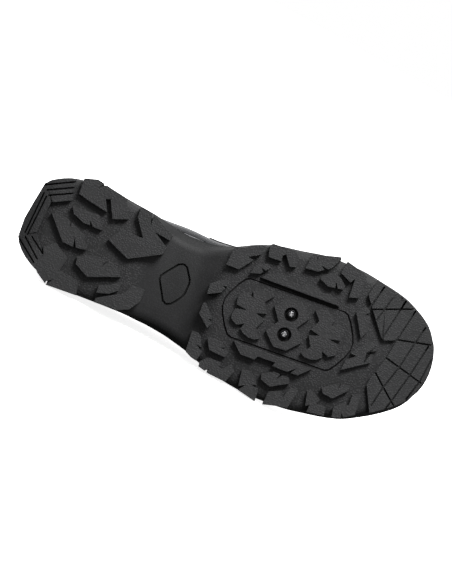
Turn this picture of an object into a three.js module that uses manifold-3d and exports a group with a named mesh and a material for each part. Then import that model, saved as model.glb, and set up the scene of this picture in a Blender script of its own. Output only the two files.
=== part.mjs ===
// A left cycling shoe with a lugged rubber sole and a bolted cleat cover, lying on its outer side.
// All sizes are in millimetres. The shoe is worked out standing, and laid down at the end:
// x runs from the back of the heel to the toe tip, y from the heel's centre line to the outer side,
// and z up from the ground. The medial side is the arch side, the lateral side the outer one.
import * as THREE from 'three';
import { mergeVertices } from 'three/addons/utils/BufferGeometryUtils.js';
import { ConvexHull } from 'three/addons/math/ConvexHull.js';
import Module from 'manifold-3d';

const wasm = await Module();
wasm.setup();

// The last and the sole
const soleLength = 287;
const ballWidth = 102;
const instepHeight = 96;
const heelSeatHeight = 27;
const ballSeatHeight = 16;
const toeWallHeight = 14;
const toeSpring = 15;
const heelBevel = 6;
const archLift = 12.5;

// Where the sole's side profile changes, in hundredths of its length, and how it curves there
const heelBevelEnd = 5.5;
const heelBevelCurve = 1.5;
const archStart = 26.5;
const archTop = [35.5, 41];
const archEnd = 49.5;
const springStart = 78;
const springCurve = 1.7;
const toePlateStart = 88;
const seatFall = [14, 64];
const toeRiseStart = 70;

// The tread
const lugHeight = 4.6;
const toePlateHeight = 3.4;
const edgeRoll = 2.2;
const edgeRollWidth = 5;
const edgeRollShare = 0.2;
const wallStep = 0.9;
const wallLedgeShare = 0.45;
const ledgeFlareShare = 0.6;
const lugRoot = 1;
const sideLugReach = 4;
const plateReach = 0.6;
const sideLugWall = 3;
const sideLugChamfer = 6;
const notchWidth = 2;
const plateGrooveWidth = 1.1;
const plateGrooveDepth = 1.6;
const panelGrooveDepth = 1;
const panelGrooveShare = 0.12;
const railGrooveWidth = 1.8;
const railGrooveDepth = 2;

// The cleat cover, on two bolts
const boltSpacing = 14;
const coverHalfLength = 44.4;
const coverHalfWidth = 20;
const coverThickness = 2.6;
const coverStand = 0.9;
const screwRecessRadius = 4.8;
const screwHeadRadius = 3;
const screwHeadHeight = 2.2;
const screwHeadEdge = 0.4;
const screwSeat = 1.9;
const screwShankRadius = 2.2;
const screwShankLength = 6;
const socketRadius = 1.5;
const socketDepth = 1.2;

// The upper and what it holds
const upperWall = 2.4;
const counterStep = 1.2;
const toeCapThickness = 1.5;
const heelInset = 1.5;
const toeInset = 0.6;
const collarBackHeight = 94;
const collarPadThickness = 4.5;
const collarPadDepth = 34;
const collarPadDrop = 1;
const collarPadFront = 30;
const tongueHeight = 116;
const tongueThickness = 4;
const tongueOverlap = 7;
const tongueBack = 35.6;
const insoleThickness = 3.6;
const insoleInset = 0.6;
const strapWidth = 25;
const strapThickness = 2;
const strapMedialEnd = 30;
const strapLateralEnd = 58;

// The upper's back leans in above and below its bulge, and its sides tuck in at the feather edge
const heelCurve = 6;
const heelCurveMiddle = 45;
const heelCurveTop = 103.4;
const heelCurveReach = 80;
const featherTuck = 2;
const featherTuckHeight = 9;
const thinnestEnd = 1;

// Clearance between pieces that touch, and the room that a cutting form has past its piece
const fitGap = 0.3;
const margin = 10;
const farOut = 200;

// How finely the sole and the upper are divided
const soleSteps = 34;
const upperSteps = 26;
const archSteps = 16;
const collarSteps = 24;
const throatSteps = 14;
const roundSides = 16;
const endCrowding = 0.8;

const colours = { rubber: 0x2b2c2e, leather: 0x3a3b3d, lining: 0x2a2a2c, steel: 0xb9bbbd };

// Sole outline at the tread base. along is in hundredths of the sole's length, the others in
// hundredths of the ball width: the two edges, and how far the wall flares out above each.
const soleColumns = ['along', 'medial', 'lateral', 'medialFlare', 'lateralFlare'];
const soleRows = [
  [0.0, 0.5, 11.8, 1.0, 1.0],
  [0.7, -9.8, 15.7, 1.8, 1.4],
  [1.9, -25.4, 19.6, 2.0, 1.4],
  [3.5, -28.9, 23.5, 2.0, 1.4],
  [7.0, -33.3, 29.2, 1.8, 1.4],
  [10.5, -35.3, 33.3, 1.4, 1.4],
  [13.9, -36.3, 34.5, 1.5, 1.4],
  [20.9, -32.8, 35.1, 1.6, 1.4],
  [27.9, -27.5, 35.5, 3.4, 1.8],
  [33.1, -22.8, 36.1, 4.4, 2.8],
  [38.3, -20.1, 38.2, 4.6, 3.0],
  [41.8, -20.1, 40.7, 4.4, 3.0],
  [45.3, -23.0, 44.1, 3.0, 2.6],
  [48.8, -27.5, 48.5, 1.8, 2.2],
  [52.3, -32.4, 52.5, 1.4, 2.0],
  [57.5, -36.9, 56.1, 1.4, 1.8],
  [62.7, -38.7, 58.3, 1.4, 1.8],
  [69.7, -41.2, 59.1, 1.4, 1.6],
  [76.7, -40.0, 56.7, 1.5, 2.2],
  [83.6, -36.3, 52.5, 1.6, 3.0],
  [88.9, -32.4, 45.4, 1.7, 3.4],
  [92.3, -27.9, 39.7, 1.8, 3.5],
  [95.8, -21.6, 32.4, 1.8, 3.4],
  [97.9, -15.2, 25.5, 1.7, 3.0],
  [99.3, -5.9, 16.2, 1.5, 2.6],
  [100.0, 2.0, 8.8, 1.0, 2.0],
];

// The upper's sections. along is in hundredths of the last's length, medial, lateral and ridge in
// hundredths of the ball width, top in hundredths of the instep height, and square is the
// exponent of the arch: 2 is an ellipse, and more is squarer.
const lastColumns = ['along', 'medial', 'lateral', 'ridge', 'top', 'square'];
const lastRows = [
  [0.0, -3.9, 5.9, 0.5, 133, 2.8],
  [1.1, -15.7, 14.7, 0.5, 133, 2.8],
  [3.0, -23.0, 21.1, 0.5, 133, 2.8],
  [6.6, -29.4, 27.0, 0.5, 133, 2.8],
  [11.2, -32.8, 30.9, 0.5, 133, 2.8],
  [17.4, -32.8, 32.4, 1.0, 133, 2.8],
  [24.4, -31.2, 33.3, 1.5, 133, 2.7],
  [31.4, -30.2, 35.3, 2.5, 132, 2.5],
  [34.8, -30.2, 36.9, 3.0, 126, 2.3],
  [37.6, -29.9, 38.4, 3.4, 117, 2.2],
  [40.4, -29.1, 40.6, 3.7, 107, 2.1],
  [43.6, -28.4, 42.9, 4.0, 100, 2.0],
  [48.8, -29.2, 46.7, 4.0, 91, 2.0],
  [54.0, -32.5, 50.5, 3.5, 83, 2.0],
  [59.2, -35.8, 53.4, 3.0, 76.5, 2.1],
  [66.2, -38.2, 55.4, 2.5, 69, 2.2],
  [73.2, -38.8, 54.6, 2.5, 63, 2.4],
  [80.1, -36.3, 51.0, 3.0, 58, 2.5],
  [85.8, -32.6, 46.6, 3.5, 55, 2.5],
  [90.4, -28.2, 41.2, 4.0, 53, 2.4],
  [94.0, -23.4, 35.6, 4.5, 50, 2.3],
  [96.9, -17.4, 29.0, 5.0, 45.5, 2.2],
  [98.7, -11.6, 22.4, 5.5, 40, 2.2],
  [99.7, -3.2, 14.6, 6.0, 35.5, 2.1],
  [100.0, 2.9, 8.8, 6.0, 33.5, 2.0],
];

// The top line of the collar, seen from the side: hundredths of the sole's length, and
// hundredths of the collar's height at the back.
const collarColumns = ['along', 'height'];
const collarRows = [
  [-6.0, 101],
  [2.0, 100],
  [5.5, 97],
  [11.0, 88],
  [17.0, 79.5],
  [23.0, 76.5],
  [28.5, 80],
  [33.0, 91],
  [37.0, 105],
  [42.0, 116],
];

// Half the throat's width, in hundredths of the ball width, along the instep.
const throatColumns = ['along', 'half'];
const throatRows = [
  [32.0, 17.5],
  [36.0, 16.5],
  [42.0, 14.5],
  [54.0, 12.5],
  [64.0, 10.5],
  [68.0, 8.5],
  [70.5, 5],
];

// Lugs by their corners in hundredths of the sole's length and of the ball width. A notch runs
// from its mouth to its tip.
const lugRows = [
  // Heel, arch side
  { corners: [[10.1, -37.3], [13.2, -39.5], [14.6, -38.5], [17.4, -36.4], [20.9, -34.1], [22.8, -21.7],
    [19.3, -18.2], [17.4, -30.1], [16.3, -29.2], [17.6, -21.3], [13.2, -24.1], [10.1, -26.6]],
  notches: [[15.2, -38.5, 13.9, -34.3]] },
  { corners: [[24.6, -32.3], [24.6, -25.2], [27.4, -13.2], [22.1, -14.3], [19.9, -4.9], [25.6, 2.7],
    [33.0, -7.8], [33.3, -12.5], [29.6, -19.6], [33.4, -17.6], [33.7, -21.6], [30.7, -26.0], [27.9, -30.4]],
  notches: [[27.7, -31.0, 28.1, -22.4]] },
  // Heel, middle leaves
  { corners: [[9.6, -17.6], [10.5, -13.3], [13.2, -9.8], [17.9, -9.1], [17.6, -13.2], [16.2, -17.9],
    [10.5, -17.8]],
  notches: [[15.4, -8.4, 14.6, -12.6]] },
  { corners: [[5.6, -9.1], [10.2, 6.4], [13.1, 7.2], [16.0, 6.3], [15.4, 2.8], [14.4, -2.4], [10.9, -7.2],
    [9.0, -9.3]],
  notches: [[13.3, 8.2, 12.5, 0.5], [10.4, -9.4, 10.7, -4.7]] },
  { corners: [[14.5, 12.0], [14.8, 17.0], [18.2, 22.5], [25.5, 15.3], [24.7, 10.3], [22.3, 8.4],
    [19.2, 7.7], [16.8, 8.8]],
  notches: [[21.8, 7.0, 20.5, 13.3]] },
  // Heel, outer side
  { corners: [[6.4, 13.2], [8.9, 8.3], [12.6, 15.4], [11.7, 24.2], [16.7, 27.0], [17.2, 36.1], [9.9, 36.1],
    [7.0, 30.4], [5.9, 26.0], [7.1, 18.3]],
  notches: [[9.5, 35.3, 11.2, 30.8]] },
  { corners: [[21.4, 24.8], [23.7, 22.5], [26.4, 17.2], [26.1, 24.0], [24.2, 28.1], [21.4, 30.1]],
    notches: [] },
  { corners: [[21.7, 33.3], [24.4, 29.0], [27.3, 24.8], [28.9, 17.5], [31.8, 17.9], [31.6, 26.3],
    [29.8, 33.3], [27.2, 36.3], [21.6, 36.3]],
  notches: [] },
  // Ball, behind the cleat cover
  { corners: [[45.4, 0.0], [45.5, 6.9], [48.5, 3.0], [49.4, -2.0], [49.4, -4.4], [48.6, -6.2], [46.9, -3.4]],
    notches: [[49.6, -1.2, 48.3, -1.3]] },
  { corners: [[45.4, 13.0], [45.3, 20.4], [48.2, 27.8], [48.9, 23.8], [48.4, 20.1], [47.5, 17.1],
    [46.1, 12.6]],
  notches: [[49.1, 22.2, 47.7, 21.9]] },
  // Ball, arch side
  { corners: [[48.0, -27.9], [47.4, -15.1], [50.6, -15.1], [53.1, -23.8], [51.7, -24.7], [54.3, -28.7],
    [54.4, -35.6], [52.3, -33.5], [50.3, -29.6]],
  notches: [] },
  { corners: [[55.5, -36.8], [56.0, -29.0], [59.2, -29.0], [59.0, -32.9], [59.7, -34.2], [61.4, -27.5],
    [62.9, -28.7], [62.6, -34.3], [61.8, -38.4], [56.1, -38.2]],
  notches: [] },
  { corners: [[53.3, -15.1], [55.6, -17.0], [57.4, -22.8], [56.8, -24.7], [54.7, -23.3], [53.7, -20.1]],
    notches: [[56.6, -18.7, 55.3, -20.9]] },
  { corners: [[65.6, -40.5], [64.9, -30.0], [67.9, -30.7], [70.6, -35.6], [72.1, -43.3], [71.8, -44.6],
    [69.7, -43.2], [67.2, -41.4]],
  notches: [[69.8, -33.2, 68.3, -35.0], [66.5, -42.0, 66.9, -37.5]] },
  { corners: [[71.1, -33.1], [69.3, -29.4], [68.9, -26.7], [71.3, -23.8], [73.1, -24.3], [74.8, -25.3],
    [74.9, -27.9], [73.3, -31.9]],
  notches: [[73.3, -23.5, 72.7, -28.2]] },
  { corners: [[73.6, -43.4], [73.0, -34.9], [75.8, -31.0], [76.5, -34.3], [76.6, -21.5], [78.9, -23.5],
    [78.9, -38.8], [76.7, -40.9]],
  notches: [] },
  // Ball, outer side
  { corners: [[45.1, 32.5], [46.8, 32.5], [47.5, 34.3], [48.3, 40.2], [48.9, 43.7], [48.3, 50.0],
    [46.9, 49.0], [45.3, 46.6]],
  notches: [[48.9, 42.2, 47.1, 39.8]] },
  { corners: [[49.0, 33.8], [50.3, 40.7], [54.3, 41.8], [54.7, 37.7], [53.4, 35.3], [52.4, 32.8],
    [49.3, 32.4]],
  notches: [[54.3, 35.8, 52.6, 36.9]] },
  { corners: [[49.1, 49.5], [50.5, 45.7], [53.9, 45.5], [53.7, 49.0], [54.5, 49.8], [56.3, 44.4],
    [57.4, 48.3], [56.2, 56.7], [51.9, 55.2], [49.2, 52.9]],
  notches: [[51.0, 55.2, 51.8, 52.0]] },
  { corners: [[58.9, 45.3], [61.1, 44.5], [62.8, 49.3], [64.0, 54.9], [64.1, 62.1], [59.6, 58.8],
    [59.3, 54.9]],
  notches: [[63.6, 52.7, 62.0, 52.7], [59.3, 57.8, 61.0, 53.9]] },
  { corners: [[63.4, 43.8], [66.0, 39.9], [69.8, 40.4], [70.3, 43.9], [66.2, 50.0], [63.8, 47.4]],
    notches: [[68.1, 38.9, 67.0, 44.3]] },
  { corners: [[66.3, 53.2], [69.3, 49.8], [69.3, 53.2], [69.9, 53.4], [70.8, 45.9], [72.8, 46.3],
    [71.7, 59.1], [68.6, 60.6], [66.0, 62.3]],
  notches: [] },
  { corners: [[74.7, 44.4], [75.5, 42.8], [78.2, 47.1], [77.6, 50.2], [80.0, 50.5], [80.2, 56.2],
    [76.1, 57.4], [76.3, 52.5], [75.4, 53.9]],
  notches: [] },
  { corners: [[77.5, 39.5], [81.0, 33.0], [83.6, 31.9], [83.7, 35.3], [80.8, 43.6], [78.3, 42.7]],
    notches: [[81.5, 31.7, 81.3, 36.5]] },
  { corners: [[81.6, 48.8], [83.9, 42.0], [84.3, 44.7], [84.8, 44.1], [84.8, 36.7], [86.8, 34.6],
    [86.9, 49.0], [84.1, 53.6], [82.0, 55.6]],
  notches: [[84.4, 53.7, 83.9, 50.5]] },
  // Rails beside the cleat cover
  { corners: [[54.9, 29.7], [57.4, 36.6], [60.9, 36.8], [61.3, 34.1], [65.6, 34.1], [65.2, 36.8],
    [68.1, 37.1], [71.5, 37.0], [74.1, 29.9]],
  notches: [[69.0, 38.2, 70.7, 33.0]] },
  { corners: [[56.1, -14.7], [57.1, -18.4], [59.1, -20.9], [61.1, -20.9], [61.7, -19.1], [65.9, -18.6],
    [66.1, -20.2], [68.8, -21.0], [70.7, -18.6], [72.3, -19.9], [75.0, -14.2]],
  notches: [] },
  // In front of the cleat cover
  { corners: [[79.3, -14.2], [80.8, -20.1], [82.2, -18.1], [83.0, -11.8], [83.2, -4.9], [82.3, 0.8]],
    notches: [[82.6, -16.0, 81.3, -14.2]] },
  { corners: [[84.3, 1.8], [86.5, 0.8], [86.8, 4.9], [84.9, 8.1], [86.4, 8.1], [86.3, 13.7], [83.6, 18.6],
    [80.3, 24.5], [80.7, 16.7], [82.8, 12.5], [81.2, 12.1], [82.1, 8.3]],
  notches: [] },
];

// Flat plates that end at the sole's outline: the ribbed bars of the heel and the toe plates.
// A corner past the outline is trimmed to it.
const plateRows = [
  [[1.5, -30.0], [4.7, -15.7], [3.8, 5.9], [0.3, 11.6], [-1.0, 9.0], [-1.0, -30.0]],
  [[1.9, -27.5], [1.9, -38.0], [8.3, -38.0], [9.1, -21.0], [5.0, -15.7]],
  [[-0.6, 12.2], [3.9, 6.7], [7.0, 18.2], [5.8, 32.0], [-0.6, 32.0]],
  [[80.6, -27.5], [86.7, -4.2], [87.5, -2.9], [90.4, -5.9], [102.0, -12.1], [102.0, -49.0], [82.2, -49.0],
    [81.5, -36.3]],
  [[90.4, -5.7], [89.4, 6.9], [88.2, 17.4], [87.5, 22.5], [87.2, 27.9], [89.8, 43.7], [91.3, 58.8],
    [103.0, 58.8], [103.0, -12.1]],
];

// Shallow grooves of those plates, from point to point, in the same shares.
const grooveRows = [
  // Heel bars, beside their outer edges
  [[2.4, -19.6], [1.3, 8.4]],
  [[3.2, -17.8], [2.0, 9.1]],
  [[2.1, -24.9], [8.5, -33.2]],
  [[2.9, -22.1], [8.6, -29.4]],
  [[3.7, -19.2], [8.7, -25.5]],
  [[0.7, 14.0], [5.5, 24.9]],
  [[1.7, 11.2], [6.0, 22.1]],
  [[3.2, 9.8], [6.7, 17.5]],
  // Toe, arch-side plate
  [[82.8, -19.6], [92.6, -29.5]],
  [[83.5, -35.5], [82.1, -21.5]],
  [[86.7, -35.5], [84.4, -14.3]],
  [[89.3, -31.5], [87.0, -4.5]],
  [[92.2, -27.5], [90.4, -6.9]],
  [[95.7, -19.6], [94.7, -9.4]],
  // Between the two toe plates
  [[90.2, -6.2], [100.0, -11.4]],
  // Toe, outer-side plate
  [[89.4, 7.2], [99.0, 15.1]],
  [[88.3, 18.8], [91.0, 25.7], [95.4, 36.5]],
  [[94.6, -8.8], [92.9, 10.8], [90.9, 26.5], [89.8, 39.2]],
  [[97.8, -8.8], [96.1, 10.8], [94.1, 30.4], [93.0, 40.0]],
  [[99.6, -3.9], [98.6, 14.7], [97.0, 28.0]],
];

// The bare raised panel of the waist, by its corners in the same shares.
const panelCorners = [[33.8, 6.7], [35.0, 2.0], [37.4, -6.0], [38.9, -6.2], [40.9, 2.9], [40.6, 12.5],
  [39.6, 17.0], [38.0, 21.8], [36.6, 21.6]];

// The groove beside the arch-side rail of the cleat cover, in the same shares.
const railGroovePath = [[56.0, -14.0], [75.0, -12.8]];

// The cleat cover's place, in the same shares, and its outlines in shares of its half length and
// half width. The plate's row is a quarter outline, and the others are half outlines.
const coverPlace = [65.4, 8.1];
const coverQuarter = [[1.0, 0.12], [0.96, 0.36], [0.87, 0.72], [0.79, 0.95], [0.73, 1.0]];
const splayHalf = [[0.644, 0], [0.818, 0.07], [0.836, 0.3], [0.824, 0.43], [0.725, 0.57], [0.613, 0.455],
  [0.646, 0.645], [0.586, 0.77], [0.495, 0.84], [0.394, 0.835], [0.32, 0.74], [0.428, 0.455], [0.345, 0.1],
  [0.5, 0]];
const boltBlockQuarter = [[0.146, 0], [0.28, 0.43], [0.1, 0.84]];

// The counter at the heel and the toe cap, seen from the side: hundredths of the sole's length
// and of the instep height.
const counterSide = [[-6, 0], [27, 0], [24, 40], [16, 66], [8, 78], [-6, 84]];
const toeCapSide = [[82, -10], [82, 24], [87, 33], [93, 41], [104, 45], [104, -10]];

// The two straps, by the middle of each on the ridge and how far it leans forward per millimetre
// towards the outer side.
const strapRows = [
  { name: 'strap_rear', along: 47, lean: 0.1 },
  { name: 'strap_front', along: 61, lean: 0.16 },
];

// Shares to millimetres

function alongAt(share) {
  return (share / 100) * soleLength;
}

function acrossAt(share) {
  return (share / 100) * ballWidth;
}

function planPoint([along, across]) {
  return new THREE.Vector2(alongAt(along), acrossAt(across));
}

// A table column as a smooth curve that never swings past its rows.
function readColumn(rows, columns, name, along) {
  const column = columns.indexOf(name);
  const last = rows.length - 1;
  if (along <= rows[0][0]) return rows[0][column];
  if (along >= rows[last][0]) return rows[last][column];
  const index = rows.findIndex((row) => row[0] > along) - 1;
  const span = rows[index + 1][0] - rows[index][0];
  const slope = (at) => (rows[at + 1][column] - rows[at][column]) / (rows[at + 1][0] - rows[at][0]);
  const tangent = (at) => {
    if (at === 0) return slope(0);
    if (at === last) return slope(last - 1);
    const before = slope(at - 1);
    const after = slope(at);
    return before * after <= 0 ? 0 : (2 * before * after) / (before + after);
  };
  const t = (along - rows[index][0]) / span;
  const start = rows[index][column];
  const end = rows[index + 1][column];
  const startPull = tangent(index) * span;
  const endPull = tangent(index + 1) * span;
  const t2 = t * t;
  const t3 = t2 * t;
  return start * (2 * t3 - 3 * t2 + 1) + startPull * (t3 - 2 * t2 + t)
    + end * (3 * t2 - 2 * t3) + endPull * (t3 - t2);
}

function smooth(from, to, value) {
  return THREE.MathUtils.smoothstep(value, from, to);
}

// The sole's side profile

function groundAt(x) {
  const along = (x / soleLength) * 100;
  if (along < heelBevelEnd) return heelBevel * ((heelBevelEnd - along) / heelBevelEnd) ** heelBevelCurve;
  if (along > springStart) return toeSpring * ((along - springStart) / (100 - springStart)) ** springCurve;
  return 0;
}

function baseAt(x) {
  const along = (x / soleLength) * 100;
  const arch = smooth(archStart, archTop[0], along) * (1 - smooth(archTop[1], archEnd, along));
  const plates = smooth(springStart, toePlateStart, along);
  const height = THREE.MathUtils.lerp(lugHeight, toePlateHeight, plates);
  return groundAt(x) + height + arch * (archLift - lugHeight);
}

function seatAt(x) {
  const along = (x / soleLength) * 100;
  const heelToBall = THREE.MathUtils.lerp(heelSeatHeight, ballSeatHeight, smooth(...seatFall, along));
  const toeRise = toeSpring + toeWallHeight - ballSeatHeight;
  const rise = (Math.max(along - toeRiseStart, 0) / (100 - toeRiseStart)) ** 2;
  return heelToBall + toeRise * rise;
}

function soleAt(x) {
  const along = (x / soleLength) * 100;
  const read = (name) => acrossAt(readColumn(soleRows, soleColumns, name, along));
  return {
    medial: read('medial'),
    lateral: read('lateral'),
    medialFlare: read('medialFlare'),
    lateralFlare: read('lateralFlare'),
  };
}

// Closed solids

function toSolid(geometry) {
  const bare = geometry.clone();
  bare.deleteAttribute('normal');
  bare.deleteAttribute('uv');
  const merged = mergeVertices(bare, 1e-4);
  const asSolid = (triangles) => new wasm.Manifold(new wasm.Mesh({
    numProp: 3,
    vertProperties: new Float32Array(merged.attributes.position.array),
    triVerts: new Uint32Array(triangles),
  }));
  const solid = asSolid(merged.index.array);
  return solid.volume() > 0 ? solid : asSolid(merged.index.array.toReversed());
}

function toGeometry(solid) {
  const mesh = solid.getMesh();
  const geometry = new THREE.BufferGeometry();
  geometry.setAttribute('position', new THREE.BufferAttribute(mesh.vertProperties, 3));
  geometry.setIndex(new THREE.BufferAttribute(mesh.triVerts, 1));
  geometry.computeVertexNormals();
  return geometry;
}

function join(solids) {
  return solids.reduce((sum, solid) => sum.add(solid));
}

// A closed skin over rings of points that all have the same number of points. An end is closed
// from both sides of its ring at once, so a first and a last point face each other.
function loft(rings) {
  const count = rings[0].length;
  const positions = rings.flat().flatMap((point) => point.toArray());
  const faces = [];
  for (let ring = 0; ring < rings.length - 1; ring += 1) {
    for (let i = 0; i < count; i += 1) {
      const a = ring * count + i;
      const b = ring * count + ((i + 1) % count);
      faces.push(a, a + count, b, b, a + count, b + count);
    }
  }
  const end = (rings.length - 1) * count;
  for (let i = 0; i < (count - 1) / 2; i += 1) {
    const across = count - 1 - i;
    faces.push(i, i + 1, across);
    faces.push(end + i, end + across, end + i + 1);
    if (i + 1 < across - 1) {
      faces.push(i + 1, across - 1, across);
      faces.push(end + i + 1, end + across, end + across - 1);
    }
  }
  const geometry = new THREE.BufferGeometry();
  geometry.setAttribute('position', new THREE.Float32BufferAttribute(positions, 3));
  geometry.setIndex(faces);
  return toSolid(geometry);
}

function ringAt(x, outline) {
  return outline.map(([y, z]) => new THREE.Vector3(x, y, z));
}

// Stations from end to end, closer together at both ends, where an outline turns round.
function stations(start, end, steps) {
  const places = [];
  for (let i = 0; i <= steps; i += 1) {
    const even = i / steps;
    const eased = (1 - Math.cos(Math.PI * even)) / 2;
    places.push(THREE.MathUtils.lerp(start, end, THREE.MathUtils.lerp(even, eased, endCrowding)));
  }
  return places;
}

const soleStations = stations(0, soleLength, soleSteps);
const longStations = [-margin, ...soleStations, soleLength + margin];

// Everything below a height that changes along the shoe
function below(heightAt) {
  const low = -farOut;
  return loft(longStations.map((x) => {
    const height = heightAt(THREE.MathUtils.clamp(x, 0, soleLength));
    return ringAt(x, [[-farOut, low], [farOut, low], [farOut, height], [-farOut, height]]);
  }));
}

// An upright column over a plan outline
function column(points, low = -margin, high = farOut) {
  const shape = new THREE.Shape(points);
  const geometry = new THREE.ExtrudeGeometry(shape, { depth: high - low, bevelEnabled: false });
  geometry.translate(0, 0, low);
  return toSolid(geometry);
}

// A slab from side to side over an outline seen from the side, in x and z
function crossSlab(points) {
  const shape = new THREE.Shape(points);
  const geometry = new THREE.ExtrudeGeometry(shape, { depth: 2 * farOut, bevelEnabled: false });
  geometry.translate(0, 0, -farOut);
  geometry.rotateX(Math.PI / 2);
  return toSolid(geometry);
}

function sidePoint([along, height]) {
  return new THREE.Vector2(alongAt(along), (height / 100) * instepHeight);
}

// A strip of even width along a path of plan points
function strip(path, width) {
  const pieces = [];
  for (let i = 0; i < path.length - 1; i += 1) {
    const direction = path[i + 1].clone().sub(path[i]).normalize();
    const side = new THREE.Vector2(-direction.y, direction.x).multiplyScalar(width / 2);
    const ahead = direction.clone().multiplyScalar(width / 2);
    const start = path[i].clone().sub(ahead);
    const end = path[i + 1].clone().add(ahead);
    pieces.push(column([
      start.clone().add(side),
      start.clone().sub(side),
      end.clone().sub(side),
      end.clone().add(side),
    ]));
  }
  return join(pieces);
}

// The outsole

function soleBody() {
  return loft(soleStations.map((x) => {
    const edge = soleAt(x);
    const base = baseAt(x);
    const seat = seatAt(x);
    const width = edge.lateral - edge.medial;
    const roll = Math.min(edgeRollWidth, width / 4);
    const low = base + edgeRoll;
    const ledge = THREE.MathUtils.lerp(low, seat, wallLedgeShare);
    const medialLedge = edge.medial - edge.medialFlare * ledgeFlareShare;
    const lateralLedge = edge.lateral + edge.lateralFlare * ledgeFlareShare;
    return ringAt(x, [
      [edge.medial, low],
      [edge.medial + roll, base + edgeRoll * edgeRollShare],
      [edge.medial + width / 2, base],
      [edge.lateral - roll, base + edgeRoll * edgeRollShare],
      [edge.lateral, low],
      [lateralLedge, ledge],
      [lateralLedge - wallStep, ledge + wallStep / 2],
      [edge.lateral + edge.lateralFlare, seat],
      [edge.medial - edge.medialFlare, seat],
      [medialLedge + wallStep, ledge + wallStep / 2],
      [medialLedge, ledge],
    ]);
  }));
}

// The space that lugs fill: from the ground up into the base, and out past the base's edge
function lugSpace(reach) {
  return loft(soleStations.map((x) => {
    const edge = soleAt(x);
    const ground = groundAt(x);
    const shoulder = baseAt(x) + sideLugWall;
    const top = shoulder + sideLugChamfer;
    return ringAt(x, [
      [edge.medial - reach, ground],
      [edge.lateral + reach, ground],
      [edge.lateral + reach, shoulder],
      [edge.lateral - lugRoot, top],
      [edge.medial + lugRoot, top],
      [edge.medial - reach, shoulder],
    ]);
  }));
}

function notch([mouthAlong, mouthAcross, tipAlong, tipAcross]) {
  const mouth = planPoint([mouthAlong, mouthAcross]);
  const tip = planPoint([tipAlong, tipAcross]);
  const direction = mouth.clone().sub(tip).normalize();
  const side = new THREE.Vector2(-direction.y, direction.x).multiplyScalar(notchWidth / 2);
  return column([mouth.clone().add(side), tip, mouth.clone().sub(side)]);
}

function lugs() {
  const blocks = join(lugRows.map((row) => column(row.corners.map(planPoint))));
  const notches = join(lugRows.flatMap((row) => row.notches.map(notch)));
  return blocks.subtract(notches).intersect(lugSpace(sideLugReach));
}

function plates() {
  const blocks = join(plateRows.map((corners) => column(corners.map(planPoint))));
  const grooves = join(grooveRows.map((path) => strip(path.map(planPoint), plateGrooveWidth)));
  const shallow = below((x) => groundAt(x) + plateGrooveDepth);
  return blocks.intersect(lugSpace(plateReach)).subtract(grooves.intersect(shallow));
}

function panelGroove() {
  const outline = panelCorners.map(planPoint);
  const middle = outline.reduce((sum, point) => sum.add(point), new THREE.Vector2());
  middle.divideScalar(outline.length);
  const inner = outline.map((point) => point.clone().lerp(middle, panelGrooveShare));
  const ring = column(outline).subtract(column(inner));
  return ring.intersect(below((x) => baseAt(x) + panelGrooveDepth));
}

function railGroove() {
  const groove = strip(railGroovePath.map(planPoint), railGrooveWidth);
  return groove.intersect(below((x) => baseAt(x) + railGrooveDepth));
}

// The cleat cover and its screws

const coverCentre = planPoint(coverPlace);
const coverLow = lugHeight - coverStand;
const coverHigh = coverLow + coverThickness;
const screwSeatHeight = coverHigh - screwSeat;

function coverPoint([u, d]) {
  return new THREE.Vector2(coverCentre.x + u * coverHalfLength, coverCentre.y + d * coverHalfWidth);
}

// A quarter outline, given from the cover's long axis outwards, as the whole outline
function mirrored(quarter) {
  const behind = quarter.map(([u, d]) => [-u, d]).reverse();
  const half = [...quarter, ...behind];
  const other = half.filter(([, d]) => d > 0).map(([u, d]) => [u, -d]).reverse();
  return [...half, ...other].map(coverPoint);
}

function grownOutline(points, gap) {
  return points.map((point) => {
    const offset = point.clone().sub(coverCentre);
    return new THREE.Vector2(
      point.x + Math.sign(offset.x) * gap,
      point.y + Math.sign(offset.y) * gap,
    );
  });
}

const boltCentres = [-1, 1].map((side) => (
  new THREE.Vector2(coverCentre.x, coverCentre.y + (side * boltSpacing) / 2)));

function roundColumn(centre, radius, low, high, sides = roundSides) {
  const geometry = new THREE.CylinderGeometry(radius, radius, high - low, sides);
  geometry.rotateX(Math.PI / 2);
  geometry.translate(centre.x, centre.y, (low + high) / 2);
  return toSolid(geometry);
}

function splayLug(side) {
  const half = splayHalf.map(([u, d]) => [side * u, d]);
  const other = half.slice(1, -1).map(([u, d]) => [u, -d]).reverse();
  const outline = [...half, ...other].map(coverPoint);
  if (side < 0) outline.reverse();
  return column(outline, -margin, coverHigh);
}

function cleatCover() {
  const plate = column(mirrored(coverQuarter), coverLow, coverHigh);
  const blocks = [splayLug(1), splayLug(-1), column(mirrored(boltBlockQuarter), -margin, coverHigh)];
  const raised = join(blocks).subtract(below(groundAt));
  const recesses = boltCentres.map((centre) => (
    roundColumn(centre, screwRecessRadius, -margin, screwSeatHeight)));
  const holes = boltCentres.map((centre) => (
    roundColumn(centre, screwShankRadius + fitGap, 0, farOut)));
  return plate.add(raised).subtract(join([...recesses, ...holes]));
}

function cleatScrew(centre) {
  const seat = screwSeatHeight - fitGap;
  const face = seat - screwHeadHeight;
  const profile = [
    [0, face],
    [screwHeadRadius - screwHeadEdge, face],
    [screwHeadRadius, face + screwHeadEdge],
    [screwHeadRadius, seat],
    [screwShankRadius, seat],
    [screwShankRadius, seat + screwShankLength],
    [0, seat + screwShankLength],
  ].map(([r, z]) => new THREE.Vector2(r, z));
  const geometry = new THREE.LatheGeometry(profile, roundSides);
  geometry.rotateX(Math.PI / 2);
  geometry.translate(centre.x, centre.y, 0);
  const socket = roundColumn(centre, socketRadius, -margin, face + socketDepth, 6);
  return toSolid(geometry).subtract(socket);
}

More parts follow.
